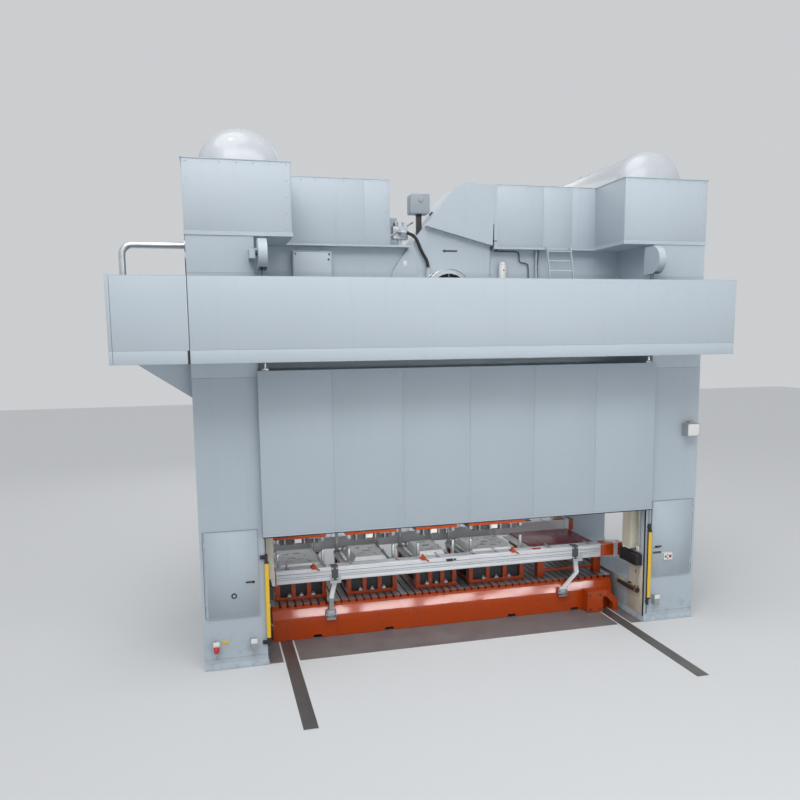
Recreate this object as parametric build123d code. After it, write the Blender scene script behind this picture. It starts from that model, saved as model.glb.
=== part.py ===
from build123d import *
import os
from math import acos, atan2, cos, degrees, pi, radians, sin, sqrt, tan

# Link drive transfer press. Millimetres, +Z up, +X to the operator's right, the operator's side at -Y.
# Every height below is measured from the shop floor. The last step lifts the whole model by the
# depth of the bed, so that the saved parts stand on Z = 0 with the bolster's middle at X = Y = 0.

# Press frame
bed_depth = 2800.0
column_inner = 3835.0
column_outer = 4960.0
press_depth = 4240.0
crown_skirt = 620.0
pillar_depth = 595.0
sill_height = 680.0
window_top = 3300.0
window_corner = 200.0
toe_height = 100.0
toe_proud = 30.0
foot_thickness = 150.0
foot_proud = 140.0
foot_width = 1250.0
foot_depth = 760.0
tunnel_width = 1800.0
tunnel_height = 1400.0
tunnel_top = 900.0
tunnel_pitch = 2000.0
tunnel_corner = 150.0
panel_recess = 12.0

# Crown
crown_side_height = 2393.0
ledge_thickness = 67.0
ledge_proud = 15.0
ledge_inner = 3165.0
deck_thickness = 37.0
deck_half_depth = 970.0
slide_headroom = 620.0
crown_floor_thickness = 100.0
crown_half_depth = 760.0
crown_wall = 25.0
web_depth = 1313.0
web_inner = 340.0
web_thickness = 60.0
service_floor_rise = 420.0
service_floor_thickness = 60.0
service_floor_gap = 20.0

# Tie rods
tie_rod_radius = 130.0
tie_rod_bore = 150.0
tie_rod_x = 4400.0
tie_rod_y = 1820.0
tie_nut_flats = 420.0
tie_nut_height = 250.0
tie_rod_stub = 100.0
nut_pocket_size = 640.0
nut_pocket_top = 2150.0

# Roof covers and air tanks
tower_cover_height = 1244.0
tower_cover_inner = 3180.0
tower_cover_outer = 4970.0
cover_wall = 8.0
left_cover_edge = 1166.0
gear_cover_edge = 815.0
gear_cover_front = 130.0
gear_cover_height = 677.0
cover_gap = 10.0
tank_radius = 720.0
tank_x = 3995.0
tank_rise = 1153.0
tank_half_straight = 1568.0
tank_head_depth = 360.0
tank_knuckle = 200.0
tank_opening_gap = 25.0
saddle_y = 900.0
saddle_width = 1000.0
saddle_thickness = 80.0

# Gear train
gear_module = 25.0
gear_half_width = 100.0
gear_backlash = 3.0
addendum = 20.0
dedendum = 31.0
pressure_angle = 20.0
main_teeth = 80
idler_teeth = 30
pinion_teeth = 12
flywheel_x = -150.0
flywheel_rise = 1060.0
main_shaft_radius = 150.0
idler_shaft_radius = 90.0
drive_shaft_radius = 90.0
bush_wall = 40.0
bush_proud = 2.0
running_clearance = 0.05

# Link mechanism
crank_throw = 110.0
crank_pin_radius = 100.0
crank_web_start = 410.0
crank_web_thickness = 55.0
lever_inner_arm = 295.0
lever_outer_arm = 900.0
lever_start = 485.0
lever_thickness = 70.0
link_start = 560.0
link_thickness = 70.0
lever_pin_radius = 80.0
lever_big_eye = 190.0
lever_small_eye = 130.0
link_eye = 140.0
rod_length = 1500.0
wrist_pin_radius = 90.0
wrist_eye = 160.0
wrist_slack = 10.0
rocker_length = 900.0
anchor_pin_radius = 50.0
rocker_reach = 66.0
rocker_slack = 12.0
rocker_head_wall = 35.0
pin_end = 640.0

# Slide, plungers and counterbalance
slide_half_width = 3400.0
slide_half_depth = 1075.0
die_space = 1375.0
slide_height = 1900.0
slide_pocket_depth = 60.0
slide_stroke = 800.0
gib_width = 180.0
gib_depth = 295.0
gib_rail_gap = 30.0
gib_drop = 20.0
gib_lip = 40.0
ear_rise = 420.0
ear_drop = 180.0
ear_inner = 3200.0
guide_gap = 0.3
plunger_radius = 180.0
collar_radius = 260.0
collar_height = 420.0
crosshead_half_width = 120.0
crosshead_half_depth = 470.0
crosshead_half_height = 125.0
balance_x = 3250.0
balance_y = 500.0
balance_outer = 150.0
balance_bore = 120.0
balance_rod = 60.0
balance_height = 1200.0
balance_end = 60.0
piston_height = 100.0

# Flywheel, belt, motor, clutch and hood
flywheel_radius = 850.0
flywheel_front = -810.0
flywheel_back = -430.0
flywheel_rim = 130.0
flywheel_web = 90.0
flywheel_hub = 230.0
flywheel_hole = 110.0
flywheel_holes = 6
motor_x = 466.0
motor_rise = 1666.0
pulley_radius = 300.0
belt_thickness = 22.0
belt_gap = 0.5
belt_inset = 20.0
motor_radius = 320.0
motor_front = -130.0
motor_back = 560.0
motor_shaft_radius = 50.0
motor_ribs = 16
motor_rib_height = 14.0
motor_foot_half = 240.0
hood_radius = 1043.0
hood_top_radius = 500.0
hood_wall = 8.0
hood_back = -140.0
hood_lower_front = -840.0
hood_step_left_drop = 323.0
hood_step_right_drop = 670.0
hood_step_left_x = -497.0
hood_step_right_x = 856.0
belt_slot_margin = 130.0
cage_radius = 450.0
cage_front = -1520.0
cage_edge = 80.0
cage_opening = 300.0
cage_spokes = 6
cage_spoke_width = 34.0
cage_cap_radius = 95.0
clutch_radius = 370.0
clutch_front = -1400.0
clutch_back = -900.0
clutch_fins = 3

# Bolster and its carriage
bolster_half_width = 3660.0
bolster_lip_half_depth = 1075.0
bolster_top = 705.0
bolster_lip = 56.0
bolster_groove = 42.0
bolster_groove_depth = 30.0
bolster_chamfer_height = 166.0
bolster_face_half_depth = 1133.0
bolster_clearance = 5.0
slot_pitch = 152.4
slot_width = 28.0
slot_head = 48.0
slot_neck = 26.0
slot_depth = 52.0
slot_margin = 140.0
clamp_channel_x = (1330.0, 2783.0)
clamp_channel_width = 170.0
clamp_channel_height = 60.0
wheel_radius = 150.0
wheel_width = 110.0
wheel_x = 3410.0
wheel_y = 800.0
wheel_gap = 0.3
wheel_pocket_gap = 20.0
axle_radius = 30.0
axle_overhang = 60.0
runway_width = 232.0
runway_depth = 80.0
runway_reach = 2580.0
runway_post = 160.0
runway_channel_gap = 34.0
end_block_inner = 2966.0
end_block_outer = 3326.0
end_block_reach = 240.0
end_block_top = 466.0
end_arm_outer = 3676.0
end_arm_thickness = 170.0

# Dies: middle and width of each station along the press
die_stations = ((-3050.0, 1040.0), (-1600.0, 1060.0), (-230.0, 900.0), (1110.0, 1260.0))
die_half_depth = 820.0
die_base_height = 200.0
lower_die_height = 495.0
upper_shoe_thickness = 120.0
upper_die_height = 270.0
die_step = 45.0
guide_post_radius = 35.0
guide_post_height = 270.0
guide_post_inset = 70.0
guide_post_gap = 1.0
stand_left = 2050.0
stand_right = 3550.0
stand_height = 595.0
stand_plate = 60.0
stand_leg = 160.0

# Transfer rails
rail_end_gap = 5.0
rail_outer_y = 1270.0
rail_depth = 240.0
rail_rise = 485.0
rail_height = 270.0
rail_groove = 24.0
rail_groove_depth = 12.0
rail_end_length = 100.0
rail_end_margin = 12.0
carriage_gap = 0.5
carriage_side_gap = 9.0
drive_box_width = 130.0
drive_box_front = 2010.0
drive_box_back = 1345.0
drive_box_drop = 30.0
drive_box_height = 220.0
drive_rod_radius = 40.0
drive_rod_length = 430.0
drive_rod_rise = 80.0
rest_left_x = (-2515.0, -2500.0, -2430.0)
rest_right_x = (2475.0, 2794.0, 2761.0)
rest_drop = 185.0
rest_knee_rise = 150.0
rest_bar = 90.0
rest_thickness = 60.0
saddle_half_width = 110.0
saddle_block = 60.0
saddle_lip = 14.0
saddle_lip_height = 110.0
sill_cylinder_radius = 55.0
sill_cylinder_height = 622.0
sill_cylinder_front = 1970.0
sill_cylinder_back = 1220.0

# Front door and its hoist
door_overlap = 28.0
door_rise = 320.0
door_height = 2930.0
door_thickness = 110.0
door_gap = 40.0
door_skin = 6.0
door_ribs = 5
door_travel = 1350.0
door_guide_width = 20.0
drum_radius = 130.0
drum_x = 3720.0
drum_width = 90.0
drum_drop = 323.0
drum_flange = 22.0
drum_axle = 25.0
drum_bracket = 100.0
rope_radius = 9.0
drum_guard_radius = 258.0
drum_guard_width = 150.0
drum_guard_wall = 5.0

# Walkway with its parapet
parapet_y = 3120.0
parapet_skirt = 145.0
parapet_height = 1220.0
parapet_half_width = 4945.0
parapet_sheet = 8.0
parapet_fold = 60.0
walkway_gap = 30.0
extension_left = 6150.0
extension_back = 1400.0
joist_count = 9

# Column fittings
access_inner = 3955.0
access_outer = 4878.0
access_bottom = 955.0
access_top = 2520.0
access_depth = 30.0
access_sheet = 3.0
access_margin = 45.0
access_recess = 110.0
hinge_offset = 14.0
hinge_radius = 12.0
hinge_pin = 6.0
hinge_length = 80.0
hinge_inset = 250.0
handle_x = 4055.0
handle_z = 1580.0
handle_length = 130.0
handle_height = 24.0
handle_depth = 18.0
handle_spindle = 10.0
handle_rose = 26.0
button_box_inner = 4208.0
button_box_outer = 4399.0
button_box_bottom = 1305.0
button_box_top = 1440.0
button_box_depth = 70.0
button_x = 4350.0
button_radius = 22.0
button_stem = 10.0
button_travel = 6.0
button_head = 12.0
beacon_inner = 4587.0
beacon_outer = 4860.0
beacon_bottom = 3846.0
beacon_top = 4100.0
beacon_depth = 200.0
beacon_cap_radius = 60.0
beacon_cap_height = 53.0
socket_width = 110.0
socket_depth = 120.0
socket_places = ((-4744.0, 436.0), (-4083.0, 428.0), (4068.0, 467.0))
socket_height = 210.0
curtain_left_x = -3815.0
curtain_right_x = 3890.0
curtain_bottom = 500.0
curtain_top = 1932.0
curtain_width = 70.0
curtain_thickness = 60.0
curtain_stand_off = 30.0
curtain_bracket = 136.0
junction_box_size = 120.0
junction_box_bottom = 1440.0

# Crown fittings
cabinet_left = -3043.0
cabinet_right = -2309.0
cabinet_height = 655.0
cabinet_drop = 108.0
cabinet_depth = 200.0
strap_width = 60.0
strap_thickness = 8.0
receiver_x = 1187.0
receiver_radius = 73.0
receiver_drop = 252.0
riser_x = 1950.0
riser_radius = 36.0
riser_drop = 13.0
riser_gap = 34.0
valve_left = -1059.0
valve_right = -761.0
valve_rise = 170.0
valve_height = 245.0
valve_y = -720.0
valve_depth = 160.0
inching_left = -685.0
inching_right = -302.0
inching_rise = 680.0
inching_height = 377.0
inching_y = -620.0
inching_depth = 300.0
ladder_left = 2065.0
ladder_right = 2600.0
ladder_rail = 60.0
ladder_rail_thickness = 14.0
ladder_rung = 14.0
ladder_rung_pitch = 200.0
ladder_foot_y = -1500.0
ladder_head_y = -1050.0
air_pipe_radius = 57.0
air_pipe_drop = 111.0
air_pipe_y = -1520.0
air_pipe_x = 6020.0
air_pipe_bend = 180.0
air_pipe_flange = 110.0
air_pipe_flange_thickness = 25.0
hose_radius = 32.0
hose_boss_height = 20.0
hose_boss_offset = 243.0
hose_stand_off = 80.0
hose_union_wall = 6.0
hose_union_length = 45.0
hose_elbow_reach = 60.0
hose_heading = (81.0, -12.0)
hose_bends = ((81.0, -12.0), (217.0, -88.0), (332.0, -371.0))
hose_last_run = 130.0

# Worked-out places, from the floor upwards
rail_bottom = bolster_top + rail_rise
rail_top = rail_bottom + rail_height
slide_bottom = bolster_top + die_space
slide_top = slide_bottom + slide_height
ear_bottom = slide_bottom + ear_rise
ear_top = slide_top - ear_drop
crown_bottom = slide_top + slide_headroom
column_height = crown_bottom + crown_skirt
crown_top = column_height + crown_side_height
gib_bottom = rail_top + gib_rail_gap
gib_top = column_height - gib_drop
gib_inner = column_inner - gib_width
collar_top = crown_bottom + crown_floor_thickness + collar_height
balance_top = crown_bottom + crown_floor_thickness + balance_height
web_bottom = crown_top - web_depth
service_floor_height = column_height + service_floor_rise
flywheel_height = service_floor_height + flywheel_rise
motor_height = flywheel_height + motor_rise
hood_step_left = motor_height - hood_step_left_drop
hood_step_right = motor_height - hood_step_right_drop
cover_top = crown_top + tower_cover_height
gear_cover_top = crown_top + gear_cover_height
tank_height = crown_top + tank_rise
lower_die_top = bolster_top + die_base_height + lower_die_height
upper_die_bottom = slide_bottom - upper_die_height
stand_top = bolster_top + stand_height
drive_box_inner = column_inner - drive_box_width
drive_box_bottom = rail_bottom - drive_box_drop
drive_box_top = drive_box_bottom + drive_box_height
drive_rod_height = rail_bottom + drive_rod_rise
carriage_outer = column_inner - carriage_side_gap
rail_half_length = drive_box_inner - rail_end_gap - rail_end_length
rest_bottom = bolster_top - rest_drop
rest_knee = bolster_top + rest_knee_rise
door_half_width = column_inner + door_overlap
door_bottom = slide_bottom + door_rise
door_top = door_bottom + door_height
drum_height = crown_top - drum_drop
parapet_bottom = service_floor_height - parapet_skirt
parapet_top = service_floor_height + parapet_height
cabinet_top = crown_top - cabinet_drop
cabinet_bottom = cabinet_top - cabinet_height
receiver_top = crown_top - receiver_drop
riser_top = crown_top - riser_drop
valve_bottom = crown_top + valve_rise
valve_top = valve_bottom + valve_height
inching_bottom = crown_top + inching_rise
inching_top = inching_bottom + inching_height
air_pipe_height = crown_top - air_pipe_drop
guide_post_top = lower_die_top + guide_post_height

# Other worked-out places
half_depth = press_depth / 2
front_y = -half_depth
pillar_inner = half_depth - pillar_depth
deck_top = crown_top + deck_thickness
ledge_top = crown_top + ledge_thickness
web_outer = web_inner + web_thickness
inner_wall_y = crown_half_depth - crown_wall
main_radius = gear_module * main_teeth / 2
idler_radius = gear_module * idler_teeth / 2
pinion_radius = gear_module * pinion_teeth / 2
idler_x = idler_radius
main_gear_x = idler_x + idler_radius + main_radius
gear_height = flywheel_height + sqrt((idler_radius + pinion_radius) ** 2 - (idler_x + flywheel_x) ** 2)
crank_pin_x = main_gear_x - crank_throw
rocker_x = crank_pin_x - lever_inner_arm
rod_x = crank_pin_x + lever_outer_arm
wrist_height = gear_height - rod_length
anchor_height = gear_height + rocker_length
right_cover_edge = motor_x + hood_top_radius + cover_gap
groove_top = bolster_top - bolster_lip
plate_bottom = groove_top - bolster_groove
door_back = front_y - door_gap
door_front = door_back - door_thickness
door_middle = door_back - door_thickness / 2
drum_y = door_middle - drum_radius
rail_inner_y = rail_outer_y - rail_depth
base_top = bolster_top + die_base_height

os.makedirs("parts", exist_ok=True)


def block(x0, x1, y0, y1, z0, z1):
    return Pos((x0 + x1) / 2, (y0 + y1) / 2, (z0 + z1) / 2) * Box(abs(x1 - x0), abs(y1 - y0), abs(z1 - z0))


def round_x(y, z, radius, x0, x1):
    return Pos((x0 + x1) / 2, y, z) * Rot(0, 90, 0) * Cylinder(radius, abs(x1 - x0))


def round_y(x, z, radius, y0, y1):
    return Pos(x, (y0 + y1) / 2, z) * Rot(90, 0, 0) * Cylinder(radius, abs(y1 - y0))


def round_z(x, y, radius, z0, z1):
    return Pos(x, y, (z0 + z1) / 2) * Cylinder(radius, abs(z1 - z0))


def along_y(sketch, y0, y1):
    """Extrude an outline drawn in X and Z from y0 to y1."""
    plane = Plane((0, max(y0, y1), 0), x_dir=(1, 0, 0), z_dir=(0, -1, 0))
    return extrude(plane * sketch, abs(y1 - y0), dir=(0, -1, 0))


def along_x(points, x0, x1):
    """Extrude a polygon of (y, z) points from x0 to x1."""
    plane = Plane((min(x0, x1), 0, 0), x_dir=(0, 1, 0), z_dir=(1, 0, 0))
    return extrude(plane * Polygon(*points, align=None), abs(x1 - x0), dir=(1, 0, 0))


def disc(x, z, radius):
    return Pos(x, z) * Circle(radius)


def strap(x1, z1, r1, x2, z2, r2):
    """Outline of a belt laid tightly round two circles."""
    dx, dz = x2 - x1, z2 - z1
    gap = sqrt(dx * dx + dz * dz)
    heading = atan2(dz, dx)
    lean = acos((r1 - r2) / gap)
    corners = []
    for turn, x, z, r in ((-lean, x1, z1, r1), (-lean, x2, z2, r2), (lean, x2, z2, r2), (lean, x1, z1, r1)):
        corners.append((x + r * cos(heading + turn), z + r * sin(heading + turn)))
    return disc(x1, z1, r1) + disc(x2, z2, r2) + Polygon(*corners, align=None)


def both(solid):
    """A solid and its mirror image across the press's middle plane from front to back."""
    return [solid, mirror(solid, Plane.XZ)]


def sides(solid):
    """A solid and its mirror image across the middle plane from left to right."""
    return [solid, mirror(solid, Plane.YZ)]


def save(name, *pieces):
    """Write one node, lifted from the shop floor to the underside of the bed."""
    solids = []
    for piece in pieces:
        solids.extend(piece.solids())
    moved = [Pos(0, 0, bed_depth) * solid for solid in solids]
    node = moved[0] if len(moved) == 1 else Compound(children=moved)
    export_step(node, f"parts/{name}.step")


# Frame: bed, columns, crown and tie rods
def make_bed():
    bed = block(-column_outer, column_outer, front_y, half_depth, -bed_depth, 0)
    for side in (-1, 1):
        for end in (-1, 1):
            x_out = side * (column_outer + foot_proud)
            y_out = end * (half_depth + foot_proud)
            bed += block(x_out - side * foot_width, x_out, y_out - end * foot_depth, y_out,
                         -bed_depth, foot_thickness - bed_depth)
    opening = Pos(0, -tunnel_top - tunnel_height / 2) * RectangleRounded(tunnel_width, tunnel_height, tunnel_corner)
    for place in (-tunnel_pitch, 0, tunnel_pitch):
        bed -= along_y(Pos(place, 0) * opening, front_y, half_depth)
    channel = runway_width / 2 + runway_channel_gap
    for side in (-1, 1):
        bed -= block(side * wheel_x - channel, side * wheel_x + channel, front_y, half_depth, -runway_depth, 0)
        for end in (-1, 1):
            x, y = side * tie_rod_x, end * tie_rod_y
            reach = nut_pocket_size / 2
            bed -= round_z(x, y, tie_rod_bore, -bed_depth, 0)
            bed -= block(x - reach, x + reach, y - reach, y + reach,
                         -nut_pocket_top - tie_nut_height - tie_rod_stub, -nut_pocket_top)
    return bed


def make_column(side):
    x0, x1 = side * column_inner, side * column_outer
    column = block(x0, x1, front_y, half_depth, 0, column_height)
    inner = side * (column_inner - toe_proud)
    front_toe = ((front_y, 0), (front_y - toe_proud, 0), (front_y, toe_height))
    for toe in both(along_x(front_toe, x0, x1)):
        column += toe
    inner_toe = Polygon((x0, 0), (inner, 0), (x0, toe_height), align=None)
    column += along_y(inner_toe, front_y, half_depth)
    window = block(x0, x1, -pillar_inner, pillar_inner, sill_height, window_top)
    column -= fillet(window.edges().filter_by(Axis.X), window_corner)
    for end in (-1, 1):
        column -= round_z(side * tie_rod_x, end * tie_rod_y, tie_rod_bore, 0, column_height)
    column -= block(side * (access_inner + access_margin), side * (access_outer - access_margin),
                    front_y, front_y + access_recess, access_bottom + access_margin, access_top - access_margin)
    panel = block(x1, x1 - side * panel_recess, -pillar_inner, pillar_inner, window_top + window_corner,
                  column_height - window_corner)
    return column - panel


def make_crown():
    crown = block(-column_inner, column_inner, -crown_half_depth, crown_half_depth, crown_bottom, crown_top)
    crown -= block(-column_inner, column_inner, -inner_wall_y, inner_wall_y,
                   crown_bottom + crown_floor_thickness, crown_top)
    for side in (-1, 1):
        crown += block(side * column_inner, side * column_outer, front_y, half_depth, column_height, crown_top)
    for end in (-1, 1):
        web = block(-column_inner, column_inner, end * web_inner, end * web_outer, web_bottom, crown_top)
        for side in (-1, 1):
            ear_half = rocker_slack + 2 * anchor_pin_radius
            ear = block(side * rocker_x - ear_half, side * rocker_x + ear_half, end * web_inner, end * web_outer,
                        crown_top - ear_half, anchor_height)
            ear += round_y(side * rocker_x, anchor_height, ear_half, end * web_inner, end * web_outer)
            web += ear - round_y(side * rocker_x, anchor_height, anchor_pin_radius, end * web_inner, end * web_outer)
        crown += web
        edge = end * (half_depth + door_gap - service_floor_gap)
        crown += block(-column_inner, column_inner, end * crown_half_depth, edge,
                       service_floor_height - service_floor_thickness, service_floor_height)
    deck = block(-column_inner, column_inner, -deck_half_depth, deck_half_depth, crown_top, deck_top)
    left, right = hood_left_edge(crown_top) - cover_gap, right_cover_edge - cover_gap
    deck -= block(left, right, -deck_half_depth, flywheel_back + belt_inset / 2, crown_top, deck_top)
    lever_zone = rod_x + 2 * lever_small_eye
    for side in (-1, 1):
        deck -= block(side * (left_cover_edge + cover_gap), side * lever_zone, -inner_wall_y + crown_wall,
                      inner_wall_y - crown_wall, crown_top, deck_top)
        reach = gear_half_width + 2 * cover_wall
        deck -= block(side * (gear_cover_edge - cover_gap), side * lever_zone, -reach, reach, crown_top, deck_top)
    for end in (-1, 1):
        web_top = block(-column_inner, column_inner, end * web_inner, end * web_outer, crown_top, deck_top)
        crown += block(-lever_zone, -gear_cover_edge, end * web_inner, end * web_outer, crown_top, deck_top)
        crown += web_top & block(gear_cover_edge, lever_zone, -web_outer, web_outer, crown_top, deck_top)
    crown += deck
    for side in (-1, 1):
        crown += block(side * ledge_inner, side * (column_outer + ledge_proud), front_y - ledge_proud,
                       half_depth + ledge_proud, crown_top, ledge_top)
    hole = strap(flywheel_x, flywheel_height, hood_radius - belt_slot_margin,
                 motor_x, motor_height, hood_top_radius - belt_slot_margin)
    crown -= along_y(hole, -crown_half_depth, -inner_wall_y)
    for end in (-1, 1):
        for x, z, radius in bearing_places():
            crown -= round_y(x, z, radius + bush_wall, end * web_inner, end * web_outer)
        for side in (-1, 1):
            crown -= round_z(side * tie_rod_x, end * tie_rod_y, tie_rod_bore, column_height, ledge_top)
            crown -= round_z(side * balance_x, end * balance_y, balance_rod + running_clearance,
                             crown_bottom, crown_bottom + crown_floor_thickness)
    for side in (-1, 1):
        floor_top = crown_bottom + crown_floor_thickness
        crown += round_z(side * rod_x, 0, collar_radius, floor_top, collar_top)
        crown -= round_z(side * rod_x, 0, plunger_radius + running_clearance, crown_bottom, collar_top)
    return crown


def bearing_places():
    """Middle and shaft radius of every bearing in the two crown webs."""
    places = [(flywheel_x, flywheel_height, drive_shaft_radius)]
    for side in (-1, 1):
        places.append((side * main_gear_x, gear_height, main_shaft_radius))
        places.append((side * idler_x, gear_height, idler_shaft_radius))
    return places


def hood_left_edge(height):
    """Where the hood's slanted left side stands at a height."""
    dx, dz = motor_x - flywheel_x, motor_height - flywheel_height
    gap = sqrt(dx * dx + dz * dz)
    angle = atan2(dz, dx) + acos((hood_radius - hood_top_radius) / gap)
    x1, z1 = flywheel_x + hood_radius * cos(angle), flywheel_height + hood_radius * sin(angle)
    x2, z2 = motor_x + hood_top_radius * cos(angle), motor_height + hood_top_radius * sin(angle)
    return x1 + (height - z1) * (x2 - x1) / (z2 - z1)


def make_tie_rods():
    rods = []
    bottom = -nut_pocket_top - tie_nut_height
    top = ledge_top + tie_nut_height
    for side in (-1, 1):
        for end in (-1, 1):
            x, y = side * tie_rod_x, end * tie_rod_y
            rods.append(round_z(x, y, tie_rod_radius, bottom - tie_rod_stub / 2, top + tie_rod_stub))
            nut = extrude(RegularPolygon(tie_nut_flats / 2, 6, major_radius=False), tie_nut_height)
            nut -= Cylinder(tie_rod_radius, tie_nut_height, align=(Align.CENTER, Align.CENTER, Align.MIN))
            rods.append(Pos(x, y, bottom) * nut)
            rods.append(Pos(x, y, ledge_top) * nut)
    return rods


# Roof: sheet covers and air tanks
def make_roof_covers():
    covers = []
    opening_half = tank_radius + tank_opening_gap
    for side in (-1, 1):
        x0, x1 = side * tower_cover_inner, side * tower_cover_outer
        cover = block(x0, x1, front_y, half_depth, ledge_top, cover_top)
        cover -= block(x0 + side * cover_wall, x1 - side * cover_wall, front_y + cover_wall,
                       half_depth - cover_wall, ledge_top, cover_top - cover_wall)
        end = tank_half_straight + tank_head_depth + tank_opening_gap
        mouth = block(side * tank_x - opening_half, side * tank_x + opening_half, -end, end,
                      cover_top - cover_wall, cover_top)
        cover -= fillet(mouth.edges().filter_by(Axis.Z), opening_half / 2)
        covers.append(cover)
    for side, inner in ((-1, left_cover_edge), (1, right_cover_edge)):
        x0, x1 = side * inner, side * tower_cover_inner
        step = side * gear_cover_edge
        cover = block(x0, x1, -deck_half_depth, deck_half_depth, deck_top, cover_top)
        cover += block(step, x0, -gear_cover_front, deck_half_depth, deck_top, gear_cover_top)
        hollow = block(x0 + side * cover_wall, x1 - side * cover_wall, -deck_half_depth + cover_wall,
                       deck_half_depth - cover_wall, deck_top, cover_top - cover_wall)
        hollow += block(step + side * cover_wall, x0 + 2 * side * cover_wall, -gear_cover_front + cover_wall,
                        deck_half_depth - cover_wall, deck_top, gear_cover_top - cover_wall)
        cover -= hollow
        cover -= block(side * ledge_inner, x1, -deck_half_depth, deck_half_depth, deck_top, ledge_top)
        covers.append(cover)
    return covers


def tank_outline():
    """Half of a tank's outline: a straight side and, at each end, a knuckle and a dished crown."""
    radius, half, depth, knuckle = tank_radius, tank_half_straight, tank_head_depth, tank_knuckle
    crown_radius = (depth ** 2 - knuckle ** 2 + (radius - knuckle) ** 2) / (2 * (depth - knuckle))
    share = crown_radius / (crown_radius - knuckle)
    touch_x = (radius - knuckle) * share
    touch_y = half + depth - crown_radius + (crown_radius - depth) * share
    outline = Line((radius, -half), (radius, half))
    outline += RadiusArc((radius, half), (touch_x, touch_y), -knuckle)
    outline += RadiusArc((touch_x, touch_y), (0, half + depth), -crown_radius)
    outline += Line((0, half + depth), (0, -half - depth))
    outline += RadiusArc((0, -half - depth), (touch_x, -touch_y), -crown_radius)
    outline += RadiusArc((touch_x, -touch_y), (radius, -half), -knuckle)
    return make_face(outline)


def make_air_tanks():
    half = tank_half_straight
    tank = revolve(tank_outline(), Axis.Y)
    pieces = []
    for place in (-1, 1):
        pieces.append(Pos(place * tank_x, 0, tank_height) * tank)
        for end in (-1, 1):
            y = end * saddle_y
            saddle = block(place * tank_x - saddle_width / 2, place * tank_x + saddle_width / 2,
                           y - saddle_thickness / 2, y + saddle_thickness / 2, ledge_top, tank_height - tank_radius / 2)
            pieces.append(saddle - round_y(place * tank_x, tank_height, tank_radius, -half, half))
    return pieces


# Gears
def tooth_half_angle(radius, pitch_radius):
    """Half the angle of an involute tooth at a radius; below the base circle it stays as there."""
    slope = radians(pressure_angle)
    base = pitch_radius * cos(slope)
    meet = acos(min(1.0, base / max(radius, base)))
    half_pitch = (pi * gear_module / 2 - gear_backlash) / (2 * pitch_radius)
    return half_pitch + (tan(slope) - slope) - (tan(meet) - meet)


def gear_outline(x, z, teeth, phase):
    pitch_radius = gear_module * teeth / 2
    root, tip = pitch_radius - dedendum, pitch_radius + addendum
    points = []
    for number in range(teeth):
        middle = phase + 2 * pi * number / teeth
        for radius, sign in ((root, -1), (tip, -1), (tip, 1), (root, 1)):
            angle = middle + sign * tooth_half_angle(radius, pitch_radius)
            points.append((x + radius * cos(angle), z + radius * sin(angle)))
    return Polygon(*points, align=None)


def meshed_phase(phase, radius, heading, next_radius):
    """Where a tooth of the next gear stands when its space takes a tooth of this one."""
    half_pitch = pi * gear_module / 2
    offset = (half_pitch - radius * (phase - heading)) / next_radius
    return heading + pi + offset


def gear_phases():
    left_main = 0.0
    left_idler = meshed_phase(left_main, main_radius, 0.0, idler_radius)
    right_idler = meshed_phase(left_idler, idler_radius, 0.0, idler_radius)
    right_main = meshed_phase(right_idler, idler_radius, 0.0, main_radius)
    heading = atan2(flywheel_height - gear_height, flywheel_x + idler_x)
    pinion = meshed_phase(left_idler, idler_radius, heading, pinion_radius)
    return {"left_main": left_main, "left_idler": left_idler, "right_idler": right_idler,
            "right_main": right_main, "pinion": pinion}


def make_crank_gear(side, phase):
    """Main gear pressed on a crankshaft with a crank at each end."""
    x = side * main_gear_x
    outline = gear_outline(x, gear_height, main_teeth, phase)
    gear = along_y(outline - disc(x, gear_height, main_shaft_radius), -gear_half_width, gear_half_width)
    rim, hub = main_radius - 150, main_shaft_radius + 110
    for end in (-1, 1):
        pocket = disc(x, gear_height, rim) - disc(x, gear_height, hub)
        gear -= along_y(pocket, end * gear_half_width * 0.4, end * gear_half_width)
    holes = PolarLocations((rim + hub) / 2, 6)
    for place in holes:
        spot = place.position
        gear -= round_y(x + spot.X, gear_height + spot.Y, (rim - hub) / 4, -gear_half_width, gear_half_width)
    pin_x = side * crank_pin_x
    shaft = round_y(x, gear_height, main_shaft_radius, -crank_web_start, crank_web_start)
    web = strap(x, gear_height, main_shaft_radius + 40, pin_x, gear_height, crank_pin_radius + 55)
    for end in (-1, 1):
        web_end = crank_web_start + crank_web_thickness
        shaft += along_y(web, end * crank_web_start, end * web_end)
        shaft += round_y(pin_x, gear_height, crank_pin_radius, end * web_end, end * (lever_start + lever_thickness))
    return gear, shaft


def make_idler(side, phase):
    x = side * idler_x
    gear = along_y(gear_outline(x, gear_height, idler_teeth, phase), -gear_half_width, gear_half_width)
    return gear + round_y(x, gear_height, idler_shaft_radius, -web_outer - bush_proud, web_outer + bush_proud)


def make_drive_shaft(phase):
    """Pinion, long shaft and the finned clutch and brake drum at its front end."""
    outline = gear_outline(flywheel_x, flywheel_height, pinion_teeth, phase)
    shaft = along_y(outline, -gear_half_width, gear_half_width)
    shaft += round_y(flywheel_x, flywheel_height, drive_shaft_radius, clutch_front, web_outer + bush_proud)
    drum = round_y(flywheel_x, flywheel_height, clutch_radius, clutch_front, clutch_back)
    fin_gap = (clutch_back - clutch_front) / (2 * clutch_fins + 1)
    for fin in range(clutch_fins):
        start = clutch_front + (2 * fin + 1) * fin_gap
        ring = disc(flywheel_x, flywheel_height, clutch_radius) - disc(flywheel_x, flywheel_height, clutch_radius * 0.8)
        drum -= along_y(ring, start, start + fin_gap)
    return shaft + drum


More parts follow.
